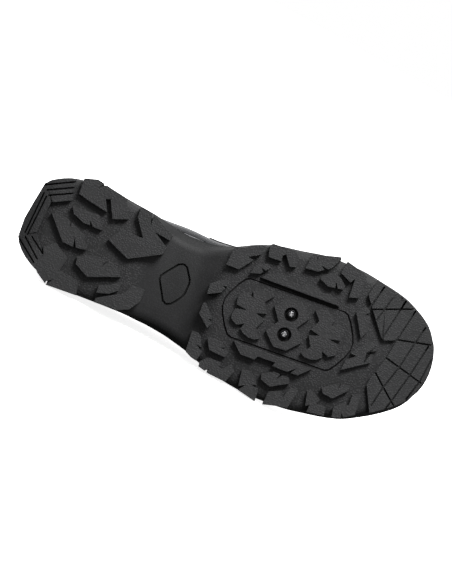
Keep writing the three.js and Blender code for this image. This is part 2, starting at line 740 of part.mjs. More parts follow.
function outsole() {
  const pocketOutline = grownOutline(mirrored(coverQuarter), fitGap);
  const pocket = column(pocketOutline, -margin, coverHigh + fitGap);
  const shankTop = screwSeatHeight + screwShankLength + fitGap;
  const holes = boltCentres.map((centre) => (
    roundColumn(centre, screwShankRadius + fitGap, 0, shankTop)));
  const cuts = join([pocket, panelGroove(), railGroove(), ...holes]);
  return join([soleBody(), lugs(), plates()]).subtract(cuts);
}

// The last, grown or shrunk all round: every layer of the upper is a slice between two of these

const lastStations = stations(0, 100, upperSteps);

function lastSection(along, grow) {
  const read = (name) => readColumn(lastRows, lastColumns, name, along);
  const middle = (soleLength + heelInset - toeInset) / 2;
  const half = (soleLength - heelInset - toeInset) / 2;
  const x = middle + (along / 50 - 1) * (half + grow);
  const seat = seatAt(THREE.MathUtils.clamp(x, 0, soleLength));
  const low = seat - margin;
  const ridge = acrossAt(read('ridge'));
  const top = Math.max((read('top') / 100) * instepHeight + grow, seat + thinnestEnd);
  const medial = Math.min(acrossAt(read('medial')) - grow, ridge - thinnestEnd);
  const lateral = Math.max(acrossAt(read('lateral')) + grow, ridge + thinnestEnd);
  const power = 2 / read('square');
  const points = [];
  for (let i = 0; i <= archSteps; i += 1) {
    const angle = (i / archSteps) * Math.PI;
    const toMedial = angle > Math.PI / 2;
    const edge = toMedial ? medial : lateral;
    const rise = Math.sin(angle) ** power;
    const z = seat + (top - seat) * rise;
    const tuck = featherTuck * Math.exp(-(z - seat) / featherTuckHeight) * (toMedial ? 1 : -1);
    const wide = Math.abs(edge - ridge) > 2 * featherTuck ? tuck : 0;
    const across = Math.abs(Math.cos(angle));
    const y = ridge + (edge - ridge) * across ** power + wide * across;
    points.push(new THREE.Vector3(x, y, z));
  }
  points.unshift(new THREE.Vector3(x, points[0].y, low));
  points.push(new THREE.Vector3(x, points.at(-1).y, low));
  return points.map((point) => leanHeel(point));
}

// The back of the heel bulges at half height and comes in towards the collar
function leanHeel(point) {
  const fade = Math.max(0, 1 - point.x / heelCurveReach);
  const height = Math.min(point.z, heelCurveTop);
  const away = (height - heelCurveMiddle) / (collarBackHeight - heelCurveMiddle);
  point.x += heelCurve * away ** 2 * fade ** 2;
  return point;
}

function lastForm(grow) {
  return loft(lastStations.map((along) => lastSection(along, grow)));
}

function layer(outside, inside) {
  return lastForm(outside).subtract(lastForm(inside));
}

const belowFeather = below((x) => seatAt(x) + fitGap);

// Above the collar's top line
function collarCut(drop) {
  const line = [];
  const first = collarRows[0][0];
  const last = collarRows.at(-1)[0];
  for (let i = 0; i <= collarSteps; i += 1) {
    const along = THREE.MathUtils.lerp(first, last, i / collarSteps);
    const height = readColumn(collarRows, collarColumns, 'height', along);
    line.push(new THREE.Vector2(alongAt(along), (height / 100) * collarBackHeight - drop));
  }
  line.push(new THREE.Vector2(alongAt(last), farOut), new THREE.Vector2(alongAt(first), farOut));
  return crossSlab(line);
}

// The throat's plan, widened by a margin, from its top end down the instep
function throatPlan(widen) {
  const sides = [[], []];
  const start = throatRows[0][0];
  const end = throatRows.at(-1)[0] + (widen / soleLength) * 100;
  for (let i = 0; i <= throatSteps; i += 1) {
    const along = THREE.MathUtils.lerp(start, end, i / throatSteps);
    const half = acrossAt(readColumn(throatRows, throatColumns, 'half', along)) + widen;
    const ridge = acrossAt(readColumn(lastRows, lastColumns, 'ridge', along));
    sides[0].push(new THREE.Vector2(alongAt(along), ridge - half));
    sides[1].push(new THREE.Vector2(alongAt(along), ridge + half));
  }
  return [...sides[0], ...sides[1].reverse()];
}

function upper() {
  const counter = lastForm(counterStep).intersect(crossSlab(counterSide.map(sidePoint)));
  const wall = lastForm(0).add(counter).subtract(lastForm(-upperWall));
  const throat = column(throatPlan(0), heelSeatHeight + margin, farOut);
  return wall.subtract(belowFeather).subtract(collarCut(0)).subtract(throat);
}

function toeCap() {
  const skin = layer(fitGap + toeCapThickness, fitGap);
  return skin.intersect(crossSlab(toeCapSide.map(sidePoint))).subtract(belowFeather);
}

const liningOutside = -(upperWall + fitGap);

// Everything between two places along the shoe, from the ground up to a height
function between(back, front, height) {
  return crossSlab([
    new THREE.Vector2(back, -margin),
    new THREE.Vector2(front, -margin),
    new THREE.Vector2(front, height),
    new THREE.Vector2(back, height),
  ]);
}

function collarPad() {
  const pad = layer(liningOutside, liningOutside - collarPadThickness);
  const behindFront = between(-margin, alongAt(collarPadFront), farOut);
  const band = collarCut(collarPadDepth).subtract(collarCut(collarPadDrop));
  return pad.intersect(band).intersect(behindFront);
}

function tongue() {
  const sheet = layer(liningOutside, liningOutside - tongueThickness);
  const plan = column(throatPlan(tongueOverlap), heelSeatHeight + margin, tongueHeight);
  return sheet.intersect(plan).intersect(between(alongAt(tongueBack), soleLength, tongueHeight));
}

function insole() {
  const inside = lastForm(-(upperWall + insoleInset));
  return inside.intersect(below((x) => seatAt(x) + fitGap + insoleThickness)).subtract(belowFeather);
}

function strap({ along, lean }) {
  const band = layer(fitGap + strapThickness, fitGap);
  const reach = ballWidth;
  const corner = (end, side) => new THREE.Vector2(
    alongAt(along) + (side * strapWidth) / 2 + end * reach * lean,
    end * reach,
  );
  const plan = column([corner(-1, -1), corner(-1, 1), corner(1, 1), corner(1, -1)], 0);
  const ridge = acrossAt(readColumn(lastRows, lastColumns, 'ridge', along));
  const lowMedial = new THREE.BoxGeometry(soleLength, farOut, 2 * strapMedialEnd);
  lowMedial.translate(alongAt(along), ridge - farOut / 2, 0);
  const lowLateral = new THREE.BoxGeometry(soleLength, farOut, 2 * strapLateralEnd);
  lowLateral.translate(alongAt(along), ridge + farOut / 2, 0);
  return band.intersect(plan).subtract(toSolid(lowMedial)).subtract(toSolid(lowLateral));
}

// Putting the pieces together

const shoe = new THREE.Group();

function addPiece(name, solid, colour, roughness, metalness) {
  const material = new THREE.MeshStandardMaterial({ color: colour, roughness, metalness });
  const mesh = new THREE.Mesh(toGeometry(solid), material);
  mesh.name = name;
  shoe.add(mesh);
}

addPiece('outsole', outsole(), colours.rubber, 0.8, 0);
addPiece('upper', upper(), colours.leather, 0.6, 0);
addPiece('toe_cap', toeCap(), colours.rubber, 0.7, 0);
addPiece('tongue', tongue(), colours.lining, 0.85, 0);
addPiece('collar_pad', collarPad(), colours.lining, 0.9, 0);
addPiece('insole', insole(), colours.lining, 0.9, 0);
strapRows.forEach((row) => addPiece(row.name, strap(row), colours.leather, 0.6, 0));
addPiece('cleat_cover', cleatCover(), colours.rubber, 0.8, 0);
addPiece('cleat_screw_medial', cleatScrew(boltCentres[0]), colours.steel, 0.35, 1);
addPiece('cleat_screw_lateral', cleatScrew(boltCentres[1]), colours.steel, 0.35, 1);

// Laying the shoe on its outer side: it settles on the face of its own hull that faces the outer
// side most and carries its centre of mass.

function everyPoint() {
  const points = [];
  shoe.children.forEach((mesh) => {
    const { position } = mesh.geometry.attributes;
    for (let i = 0; i < position.count; i += 1) {
      points.push(new THREE.Vector3().fromBufferAttribute(position, i));
    }
  });
  return points;
}

function centreOfMass() {
  const sum = new THREE.Vector3();
  let volume = 0;
  shoe.children.forEach((mesh) => {
    const { position } = mesh.geometry.attributes;
    const index = mesh.geometry.index.array;
    for (let face = 0; face < index.length; face += 3) {
      const [a, b, c] = [0, 1, 2].map((corner) => (
        new THREE.Vector3().fromBufferAttribute(position, index[face + corner])));
      const part = a.dot(b.clone().cross(c)) / 6;
      sum.addScaledVector(a.add(b).add(c), part / 4);
      volume += part;
    }
  });
  return sum.divideScalar(volume);
}

function holdsCentre(face, centre) {
  let edge = face.edge;
  do {
    const head = edge.head().point;
    const tail = edge.tail().point;
    const outward = head.clone().sub(tail).cross(face.normal);
    if (centre.clone().sub(tail).dot(outward) > 0) return false;
    edge = edge.next;
  } while (edge !== face.edge);
  return true;
}

function restingFace() {
  const centre = centreOfMass();
  const hull = new ConvexHull().setFromPoints(everyPoint());
  return hull.faces
    .filter((face) => holdsCentre(face, centre))
    .reduce((best, face) => (face.normal.y > best.normal.y ? face : best));
}

function layDown() {
  const face = restingFace();
  const up = face.normal.clone().negate();
  const along = new THREE.Vector3(1, 0, 0).addScaledVector(up, -up.x).normalize();
  const back = up.clone().cross(along);
  shoe.quaternion.setFromRotationMatrix(new THREE.Matrix4().makeBasis(along, back, up).transpose());
  shoe.updateMatrixWorld(true);
  const box = new THREE.Box3().setFromObject(shoe, true);
  const centre = box.getCenter(new THREE.Vector3());
  shoe.position.set(-centre.x, -centre.y, -box.min.z);
}

layDown();

export default shoe;
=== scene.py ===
import math

import bmesh
import bpy
from mathutils import Matrix, Vector


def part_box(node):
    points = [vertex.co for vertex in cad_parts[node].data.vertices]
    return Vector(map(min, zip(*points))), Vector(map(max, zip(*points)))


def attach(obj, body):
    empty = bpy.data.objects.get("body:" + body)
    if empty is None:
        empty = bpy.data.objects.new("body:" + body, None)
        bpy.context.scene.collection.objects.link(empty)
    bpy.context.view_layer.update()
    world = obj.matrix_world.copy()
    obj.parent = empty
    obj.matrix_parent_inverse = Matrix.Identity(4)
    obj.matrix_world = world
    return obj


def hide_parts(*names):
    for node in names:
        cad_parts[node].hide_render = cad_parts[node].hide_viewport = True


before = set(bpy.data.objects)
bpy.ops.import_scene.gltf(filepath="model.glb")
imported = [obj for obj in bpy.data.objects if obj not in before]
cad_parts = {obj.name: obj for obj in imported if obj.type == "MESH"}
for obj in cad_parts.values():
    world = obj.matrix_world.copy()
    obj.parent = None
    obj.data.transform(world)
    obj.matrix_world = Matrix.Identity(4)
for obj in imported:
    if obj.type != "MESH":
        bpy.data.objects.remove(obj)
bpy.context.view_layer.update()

# The studio: a plain white floor, a soft key light above and in front of the tread, a weaker rim
# light above and a little behind the shoe, and the camera square to the tread, turned as in the
# photograph. The axes are those of the standing shoe: towards its toe, outwards and downwards.
TOEWARD = Vector((0.986088, 0.0, 0.166222))
OUTWARD = Vector((0.165376, -0.100770, -0.981069))
SOLEWARD = Vector((-0.016750, -0.994910, 0.099368))
SHOE_ORIGIN = Vector((-0.143135, -0.054472, 0.032360))
TREAD_MIDDLE = SHOE_ORIGIN + TOEWARD * 0.1421 + OUTWARD * 0.0016
CAMERA_DISTANCE = 2.6
CAMERA_ROLL = math.radians(19.5)
FRAME_HEIGHT = 0.3855
SENSOR_HEIGHT = 24
FLOOR_HALF = 8.0
FLOOR_WHITE = 0.95
FLOOR_GLOW = 0.85
LIGHT_DISTANCE = 1.3
KEY_RISE = 0.85
KEY_RIGHT = 0.65
KEY_SIZE = 0.45
KEY_POWER = 44
RIM_BEHIND = 0.25
RIM_RISE = 0.9
RIM_LEFT = 0.3
RIM_SIZE = 0.9
RIM_POWER = 10
SKY_STRENGTH = 1.0
SKY_LOW = 0.10
SKY_DARK_UP_TO = -0.2
SKY_WHITE_FROM = -0.04

lens = bpy.data.cameras.new("camera")
lens.sensor_fit = "VERTICAL"
lens.sensor_height = SENSOR_HEIGHT
lens.lens = SENSOR_HEIGHT * CAMERA_DISTANCE / FRAME_HEIGHT
rightward = TOEWARD * math.cos(CAMERA_ROLL) - OUTWARD * math.sin(CAMERA_ROLL)
upward = -TOEWARD * math.sin(CAMERA_ROLL) - OUTWARD * math.cos(CAMERA_ROLL)
camera = bpy.data.objects.new("camera", lens)
camera.matrix_world = Matrix.LocRotScale(
    TREAD_MIDDLE + SOLEWARD * CAMERA_DISTANCE,
    Matrix((rightward, upward, SOLEWARD)).transposed(),
    None,
)
bpy.context.collection.objects.link(camera)
bpy.context.scene.camera = camera


def soft_light(name, direction, size, power):
    """A square lamp that looks at the middle of the tread from that direction."""
    lamp = bpy.data.lights.new(name, "AREA")
    lamp.size = size
    lamp.energy = power
    light = bpy.data.objects.new(name, lamp)
    light.location = TREAD_MIDDLE + direction.normalized() * LIGHT_DISTANCE
    light.rotation_euler = direction.to_track_quat("Z", "Y").to_euler()
    bpy.context.collection.objects.link(light)


soft_light("key light", SOLEWARD + upward * KEY_RISE + rightward * KEY_RIGHT, KEY_SIZE, KEY_POWER)
soft_light("rim light", upward * RIM_RISE - SOLEWARD * RIM_BEHIND - rightward * RIM_LEFT, RIM_SIZE, RIM_POWER)


class Shade:
    """A socket of a finish. Arithmetic on it adds Math nodes, and node() adds any other."""

    def __init__(self, tree, socket=None):
        self.tree = tree
        self.socket = socket

    def node(self, kind, settings=None, inputs=None, output=0):
        made = self.tree.nodes.new(kind)
        for name, setting in (settings or {}).items():
            setattr(made, name, setting)
        for name, value in (inputs or {}).items():
            if isinstance(value, Shade):
                self.tree.links.new(value.socket, made.inputs[name])
            else:
                made.inputs[name].default_value = value
        return Shade(self.tree, made.outputs[output])

    def math(self, operation, first, second):
        return self.node("ShaderNodeMath", {"operation": operation}, {0: first, 1: second})

    def __add__(self, other):
        return self.math("ADD", self, other)

    def __rsub__(self, other):
        return self.math("SUBTRACT", other, self)

    def __mul__(self, other):
        return self.math("MULTIPLY", self, other)


def start_finish(name, constants):
    """A new material with these values on its shader, and a Shade from which its nodes start."""
    material = bpy.data.materials.new(name)
    material.use_nodes = True
    surface = material.node_tree.nodes["Principled BSDF"]
    for socket, value in constants.items():
        surface.inputs[socket].default_value = value
    return material, surface, Shade(material.node_tree)


floor_shape = bmesh.new()
bmesh.ops.create_grid(floor_shape, x_segments=1, y_segments=1, size=FLOOR_HALF)
floor_mesh = bpy.data.meshes.new("floor")
floor_shape.to_mesh(floor_mesh)
floor_shape.free()
floor = bpy.data.objects.new("floor", floor_mesh)
floor.visible_diffuse = False
floor.visible_glossy = False
bpy.context.collection.objects.link(floor)
paper = start_finish("white paper", {
    "Base Color": (FLOOR_WHITE, FLOOR_WHITE, FLOOR_WHITE, 1), "Roughness": 1,
    "Emission Color": (1, 1, 1, 1), "Emission Strength": FLOOR_GLOW,
})[0]
floor_mesh.materials.append(paper)

sky = bpy.data.worlds.new("white room")
sky.use_nodes = True
bpy.context.scene.world = sky
sky_start = Shade(sky.node_tree)
sky_place = sky_start.node("ShaderNodeTexCoord")
sky_height = sky_start.node("ShaderNodeSeparateXYZ", None, {0: sky_place}, output=2)
sky_white = sky_start.node("ShaderNodeMapRange", None, {
    "Value": sky_height, "From Min": SKY_DARK_UP_TO, "From Max": SKY_WHITE_FROM, "To Min": SKY_LOW})
backdrop = sky.node_tree.nodes["Background"]
sky.node_tree.links.new(sky_white.socket, backdrop.inputs["Color"])
backdrop.inputs["Strength"].default_value = SKY_STRENGTH
bpy.context.scene.view_settings.view_transform = "Standard"


def feed(surface, **values):
    """Links each value to the shader's socket of that name, an underscore standing for a space."""
    for name, value in values.items():
        value.tree.links.new(value.socket, surface.inputs[name.replace("_", " ")])


def noise(start, place, scale, detail=2.0, roughness=0.5):
    return start.node("ShaderNodeTexNoise", None, {
        "Vector": place, "Scale": scale, "Detail": detail, "Roughness": roughness})


def span(value, low, high):
    """The value's share of the way from low to high, held between 0 and 1."""
    return value.node("ShaderNodeMapRange", None, {"Value": value, "From Min": low, "From Max": high})


def mixed(share, first, second):
    """Two colours mixed by a share."""
    return share.node("ShaderNodeMix", {"data_type": "RGBA"}, {0: share, 6: first, 7: second}, output=2)


# The sole's body: one moulding of black rubber, flat under heel and ball, arched at the waist and
# turned up at the toe, its tread edge rolled and its side wall stepped once, with a bare panel
# outlined at the waist and a pocket for the cleat cover.
SOLE_LENGTH = 287
BALL_WIDTH = 102
HEEL_SEAT = 27
BALL_SEAT = 16
TOE_WALL = 14
TOE_SPRING = 15
HEEL_BEVEL = 6
HEEL_BEVEL_END = 5.5
HEEL_BEVEL_CURVE = 1.5
SPRING_START = 78
SPRING_CURVE = 1.7
SEAT_FALL = [14, 64]
TOE_WALL_START = 70
LUG_HEIGHT = 4.6
TOE_PLATE_HEIGHT = 3.4
TOE_PLATE_BLEND = 10
ARCH_LIFT = 12.5
ARCH = [26.5, 35.5, 41, 49.5]
EDGE_ROLL = 2.2
EDGE_ROLL_WIDTH = 5
EDGE_SLANT = 0.2
WALL_STEP = 0.9
WALL_STEP_PLACE = 0.45
WALL_STEP_FLARE = 0.6
SOLE_RINGS = 150
SOLE_ROWS = [
    # along, in hundredths of the length, then medial edge, lateral edge, medial flare and lateral
    # flare, in hundredths of the ball's width
    [0.0, 0.5, 11.8, 1.0, 1.0],
    [0.7, -9.8, 15.7, 1.8, 1.4],
    [1.9, -25.4, 19.6, 2.0, 1.4],
    [3.5, -28.9, 23.5, 2.0, 1.4],
    [7.0, -33.3, 29.2, 1.8, 1.4],
    [10.5, -35.3, 33.3, 1.4, 1.4],
    [13.9, -36.3, 34.5, 1.5, 1.4],
    [20.9, -32.8, 35.1, 1.6, 1.4],
    [27.9, -27.5, 35.5, 3.4, 1.8],
    [33.1, -22.8, 36.1, 4.4, 2.8],
    [38.3, -20.1, 38.2, 4.6, 3.0],
    [41.8, -20.1, 40.7, 4.4, 3.0],
    [45.3, -23.0, 44.1, 3.0, 2.6],
    [48.8, -27.5, 48.5, 1.8, 2.2],
    [52.3, -32.4, 52.5, 1.4, 2.0],
    [57.5, -36.9, 56.1, 1.4, 1.8],
    [62.7, -38.7, 58.3, 1.4, 1.8],
    [69.7, -41.2, 59.1, 1.4, 1.6],
    [76.7, -40.0, 56.7, 1.5, 2.2],
    [83.6, -36.3, 52.5, 1.6, 3.0],
    [88.9, -32.4, 45.4, 1.7, 3.4],
    [92.3, -27.9, 39.7, 1.8, 3.5],
    [95.8, -21.6, 32.4, 1.8, 3.4],
    [97.9, -15.2, 25.5, 1.7, 3.0],
    [99.3, -5.9, 16.2, 1.5, 2.6],
    [100.0, 2.0, 8.8, 1.0, 2.0],
]
ROLL_SHARES = [0, 0.03, 0.1, 0.22, 0.4, 0.65, 1]
PANEL_CORNERS = [[33.8, 6.7], [35.0, 2.0], [37.4, -6.0], [38.9, -6.2], [40.9, 2.9], [40.6, 12.5],
                 [39.6, 17.0], [38.0, 21.8], [36.6, 21.6]]
PANEL_GROOVE = 1.3
PANEL_GROOVE_DEPTH = 2.2
PANEL_ROUND = 1.4
RAIL_GROOVE = [[56.0, -14.0], [75.0, -12.8]]
RAIL_GROOVE_WIDTH = 1.8
RAIL_GROOVE_DEPTH = 2
COVER_MIDDLE = [65.4, 8.1]
COVER_HALF_LENGTH = 44.4
COVER_HALF_WIDTH = 20
COVER_QUARTER = [[1.0, 0.12], [0.96, 0.36], [0.87, 0.72], [0.79, 0.95], [0.73, 1.0]]
COVER_POCKET_DEPTH = 6.5
COVER_POCKET_GAP = 0.8
CUT_FROM = -20


def in_row(point):
    """A point of the standing shoe, in millimetres, as a point of the model, in metres."""
    return SHOE_ORIGIN + (TOEWARD * point[0] + OUTWARD * point[1] - SOLEWARD * point[2]) / 1000


def in_shoe(place):
    """A point of the model, in metres, as a point of the standing shoe, in millimetres."""
    offset = (place - SHOE_ORIGIN) * 1000
    return Vector((offset.dot(TOEWARD), offset.dot(OUTWARD), -offset.dot(SOLEWARD)))


def read_line(rows, column, place):
    """A table's column as a smooth curve that never swings past its rows."""
    if place <= rows[0][0]:
        return rows[0][column]
    if place >= rows[-1][0]:
        return rows[-1][column]
    index = next(i for i, row in enumerate(rows) if row[0] > place) - 1

    def slope(at):
        return (rows[at + 1][column] - rows[at][column]) / (rows[at + 1][0] - rows[at][0])

    def tangent(at):
        if at == 0:
            return slope(0)
        if at == len(rows) - 1:
            return slope(at - 1)
        before, after = slope(at - 1), slope(at)
        return 0 if before * after <= 0 else 2 * before * after / (before + after)

    gap = rows[index + 1][0] - rows[index][0]
    t = (place - rows[index][0]) / gap
    start, end = rows[index][column], rows[index + 1][column]
    return (start * (2 * t**3 - 3 * t**2 + 1) + tangent(index) * gap * (t**3 - 2 * t**2 + t)
            + end * (3 * t**2 - 2 * t**3) + tangent(index + 1) * gap * (t**3 - t**2))


def smooth(start, end, value):
    t = min(max((value - start) / (end - start), 0), 1)
    return t * t * (3 - 2 * t)


def ground_height(x):
    """The height of the lugs' ground faces: 0 but for the bevelled heel and the toe spring."""
    along = x / SOLE_LENGTH * 100
    if along < HEEL_BEVEL_END:
        return HEEL_BEVEL * ((HEEL_BEVEL_END - max(along, 0)) / HEEL_BEVEL_END) ** HEEL_BEVEL_CURVE
    return TOE_SPRING * (max(along - SPRING_START, 0) / (100 - SPRING_START)) ** SPRING_CURVE


def base_height(x):
    """The height of the tread's base, from which the lugs rise, with the arch at the waist."""
    along = x / SOLE_LENGTH * 100
    arch = smooth(ARCH[0], ARCH[1], along) * (1 - smooth(ARCH[2], ARCH[3], along))
    plates = smooth(SPRING_START, SPRING_START + TOE_PLATE_BLEND, along)
    height = LUG_HEIGHT + (TOE_PLATE_HEIGHT - LUG_HEIGHT) * plates
    return ground_height(x) + height + arch * (ARCH_LIFT - LUG_HEIGHT)


def seat_height(x):
    """The height of the sole's top, on which the upper stands."""
    along = min(max(x / SOLE_LENGTH * 100, 0), 100)
    level = HEEL_SEAT + (BALL_SEAT - HEEL_SEAT) * smooth(*SEAT_FALL, along)
    toeward = max(along - TOE_WALL_START, 0) / (100 - TOE_WALL_START)
    return level + (TOE_SPRING + TOE_WALL - BALL_SEAT) * toeward**2


def sole_edges(x):
    """The tread's medial and lateral edge at a place along the sole, and each wall's flare."""
    return [read_line(SOLE_ROWS, i, x / SOLE_LENGTH * 100) / 100 * BALL_WIDTH for i in (1, 2, 3, 4)]


def sole_ring(x):
    """The sole's section: across the tread, up the outer wall, over the seat and down again."""
    medial, lateral, medial_flare, lateral_flare = sole_edges(x)
    base, seat = base_height(x), seat_height(x)
    half = (lateral - medial) / 2
    roll = min(EDGE_ROLL_WIDTH, half / 2)
    rise = [EDGE_ROLL * (EDGE_SLANT * (1 - share * roll / half) + (1 - EDGE_SLANT) * (1 - share) ** 2)
            for share in ROLL_SHARES]
    inward = [share * roll for share in ROLL_SHARES]
    ring = [(medial + reach, base + height) for reach, height in zip(inward, rise)]
    ring.append((medial + half, base))
    ring += [(lateral - reach, base + height) for reach, height in reversed(list(zip(inward, rise)))]
    low = base + EDGE_ROLL
    ledge = low + (seat - low) * WALL_STEP_PLACE
    lateral_ledge = lateral + lateral_flare * WALL_STEP_FLARE
    medial_ledge = medial - medial_flare * WALL_STEP_FLARE
    ring += [
        (lateral_ledge, ledge),
        (lateral_ledge - WALL_STEP, ledge + WALL_STEP / 2),
        (lateral + lateral_flare, seat),
        (medial - medial_flare, seat),
        (medial_ledge + WALL_STEP, ledge + WALL_STEP / 2),
        (medial_ledge, ledge),
    ]
    return ring


def eased(count, start, end):
    """Places from start to end, closer together at both ends."""
    shares = [0.3 * i / count + 0.7 * (1 - math.cos(math.pi * i / count)) / 2 for i in range(count + 1)]
    return [start + (end - start) * share for share in shares]


def piece_from(shape, name, bend=180):
    """A finished bmesh as an object of the model, smooth but for edges sharper than bend."""
    mesh = bpy.data.meshes.new(name)
    shape.to_mesh(mesh)
    shape.free()
    mesh.shade_smooth()
    mesh.set_sharp_from_angle(angle=math.radians(bend))
    piece = bpy.data.objects.new(name, mesh)
    bpy.context.collection.objects.link(piece)
    return piece


def sole_body():
    """Rings of the sole's section drawn along the shoe and closed at both ends."""
    shape = bmesh.new()
    rings = []
    for x in eased(SOLE_RINGS, 0, SOLE_LENGTH):
        verts = [shape.verts.new(in_row((x, y, z))) for y, z in sole_ring(x)]
        pairs = zip(verts, verts[1:] + verts[:1])
        rings.append([shape.edges.new(pair) for pair in pairs])
    for ring, following in zip(rings, rings[1:]):
        bmesh.ops.bridge_loops(shape, edges=ring + following)
    bmesh.ops.holes_fill(shape, edges=rings[0] + rings[-1], sides=0)
    bmesh.ops.recalc_face_normals(shape, faces=shape.faces)
    return piece_from(shape, "sole_body", 30)


def plan_spot(along, across):
    """Hundredths of the length and of the ball's width, as millimetres in the plan."""
    return Vector((along / 100 * SOLE_LENGTH, across / 100 * BALL_WIDTH))


def cut_column(shape, outline, top):
    """An upright prism through the tread, from below an outline in the plan to its top heights."""
    face = shape.faces.new([shape.verts.new(in_row((x, y, CUT_FROM))) for x, y in outline])
    raised = bmesh.ops.extrude_face_region(shape, geom=[face])["geom"]
    for vertex in (item for item in raised if isinstance(item, bmesh.types.BMVert)):
        spot = in_shoe(vertex.co)
        vertex.co = in_row((spot.x, spot.y, top(spot.x)))


def groove_column(shape, start, end, width, depth):
    """A cutter for a straight groove from start to end, as deep all along."""
    ahead = (end - start).normalized()
    aside = Vector((-ahead.y, ahead.x)) * width / 2
    start = start - ahead * width / 3
    end = end + ahead * width / 3
    cut_column(shape, [start + aside, start - aside, end - aside, end + aside],
               lambda x: base_height(x) + depth)


def cut_with(piece, cutter):
    """Cuts the cutter's solids out of a piece, for good."""
    cut = piece.modifiers.new("cut", "BOOLEAN")
    cut.object = cutter
    cut.solver = "EXACT"
    cut.use_self = True
    depsgraph = bpy.context.evaluated_depsgraph_get()
    piece.data = bpy.data.meshes.new_from_object(piece.evaluated_get(depsgraph))
    piece.modifiers.clear()
    bpy.data.objects.remove(cutter)


body = sole_body()
cutter_shape = bmesh.new()
panel = []
corners = [plan_spot(*corner) for corner in PANEL_CORNERS]
for before, corner, after in zip(corners[-1:] + corners[:-1], corners, corners[1:] + corners[:1]):
    panel.append(corner + (before - corner).normalized() * PANEL_ROUND)
    panel.append(corner + (after - corner).normalized() * PANEL_ROUND)
for start, end in zip(panel, panel[1:] + panel[:1]):
    groove_column(cutter_shape, start, end, PANEL_GROOVE, PANEL_GROOVE_DEPTH)
groove_column(cutter_shape, plan_spot(*RAIL_GROOVE[0]), plan_spot(*RAIL_GROOVE[1]), RAIL_GROOVE_WIDTH,
              RAIL_GROOVE_DEPTH)
cover_middle = plan_spot(*COVER_MIDDLE)
quarter = [Vector((u * COVER_HALF_LENGTH + COVER_POCKET_GAP, d * COVER_HALF_WIDTH + COVER_POCKET_GAP))
           for u, d in COVER_QUARTER]
upper_half = quarter + [Vector((-u, d)) for u, d in reversed(quarter)]
pocket = upper_half + [Vector((u, -d)) for u, d in reversed(upper_half)]
cut_column(cutter_shape, [cover_middle + corner for corner in pocket], lambda x: COVER_POCKET_DEPTH)
bmesh.ops.recalc_face_normals(cutter_shape, faces=cutter_shape.faces)
cut_with(body, piece_from(cutter_shape, "sole cutter"))
body.data.set_sharp_from_angle(angle=math.radians(30))

RUBBER_DARK = (0.0040, 0.0041, 0.0043, 1)
RUBBER_PALE = (0.0250, 0.0252, 0.0258, 1)
# The near-black that grooves and recesses are painted with, as shade.
RUBBER_PAINTED_SHADE = (0.0004, 0.0004, 0.0004, 1)
STIPPLE_SCALE = 780.0
PORE_SCALE = 2600
WAIST_MARK = -0.1
# Points this far inside the tread's edges, and between these two heights above its base, are painted
# near-black as shade.
GROOVE_MARGIN = 8
GROOVE_SHADE_HEIGHTS = [1, 4]


def rubber(name, pebble):
    """Moulded rubber: a pebbled skin with a painted highlight on the pebbles' tops, paler on the worn
    ground faces and darker towards the tread's base, smooth at the waist and on the walls, and painted
    near-black as shade where it is deep. Its points' mark is 1 on the ground, 0 at the tread's base,
    WAIST_MARK at the waist and -1 in a recess."""
    material, surface, start = start_finish(name, {"Specular IOR Level": 0.14})
    place = start.node("ShaderNodeTexCoord", output=3)
    mark = start.node("ShaderNodeAttribute", {"attribute_name": "wear_and_shade"}, output=2)
    wear_and_shade = span(mark, 0.0, 1.0)
    recess_painted_shade = span(mark, -0.2, -0.6)
    pebbled = span(mark, WAIST_MARK, 0.0) * 0.75 + 0.25
    cloud = noise(start, place, 60, 4, 0.6)
    from_dome = start.node("ShaderNodeTexVoronoi", {"feature": "F1"}, {
        "Vector": place, "Scale": STIPPLE_SCALE, "Randomness": 0.75})
    dome = span(from_dome, 0.6, 0.1)
    pits = noise(start, place, PORE_SCALE, 2, 0.6)
    # Painted highlight: the pebbles are painted paler towards their tops, less so on the worn ground faces,
    # which are paler all over, and the colour darkens towards the tread's base.
    paleness = wear_and_shade * 0.2 + span(cloud, 0.3, 0.7) * 0.14 + 0.12 + (dome * (0.5 - wear_and_shade * 0.25) * pebbled)
    # Where a point is deep, its colour is painted near-black as shade.
    feed(surface, Base_Color=mixed(recess_painted_shade, mixed(paleness, RUBBER_DARK, RUBBER_PALE), RUBBER_PAINTED_SHADE))
    feed(surface, Roughness=span(cloud, 0.3, 0.7) * 0.08 + 0.5 + pits * 0.16)
    height = dome * pebbled + pits * 0.25
    skin = start.node("ShaderNodeBump", None, {"Strength": pebble, "Distance": 0.0004, "Height": height})
    feed(surface, Normal=skin)
    return material


def mark_wear_and_shade(piece, is_deep=lambda spot: False):
    """Gives each point its mark: 1 at the worn ground, 0 at the tread's base, -1 in a recess, painted as
    shade.
    """
    wear_and_shade = piece.data.attributes.new("wear_and_shade", "FLOAT", "POINT")
    for vertex, mark in zip(piece.data.vertices, wear_and_shade.data):
        spot = in_shoe(vertex.co)
        above = spot.z - ground_height(spot.x)
        smoothness = smooth(LUG_HEIGHT + 1, LUG_HEIGHT + 4, above)
        shown = max(1 - above / LUG_HEIGHT, 0) + WAIST_MARK * smoothness
        mark.value = -1 if is_deep(spot) else min(shown, 1)


def in_groove(spot):
    """Whether a point lies in a groove of the tread's base or in the cover's pocket, well inside its
    edges, where the rubber is painted near-black as shade.
    """
    medial, lateral = sole_edges(spot.x)[:2]
    inside = medial + GROOVE_MARGIN < spot.y < lateral - GROOVE_MARGIN
    return inside and GROOVE_SHADE_HEIGHTS[0] < spot.z - base_height(spot.x) < GROOVE_SHADE_HEIGHTS[1]


tread_rubber = rubber("tread rubber", 0.5)
# The floors of the sole's grooves and of the cover's pocket are painted near-black as shade.
mark_wear_and_shade(body, in_groove)
body.data.materials.append(tread_rubber)
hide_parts("outsole")
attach(body, "root")

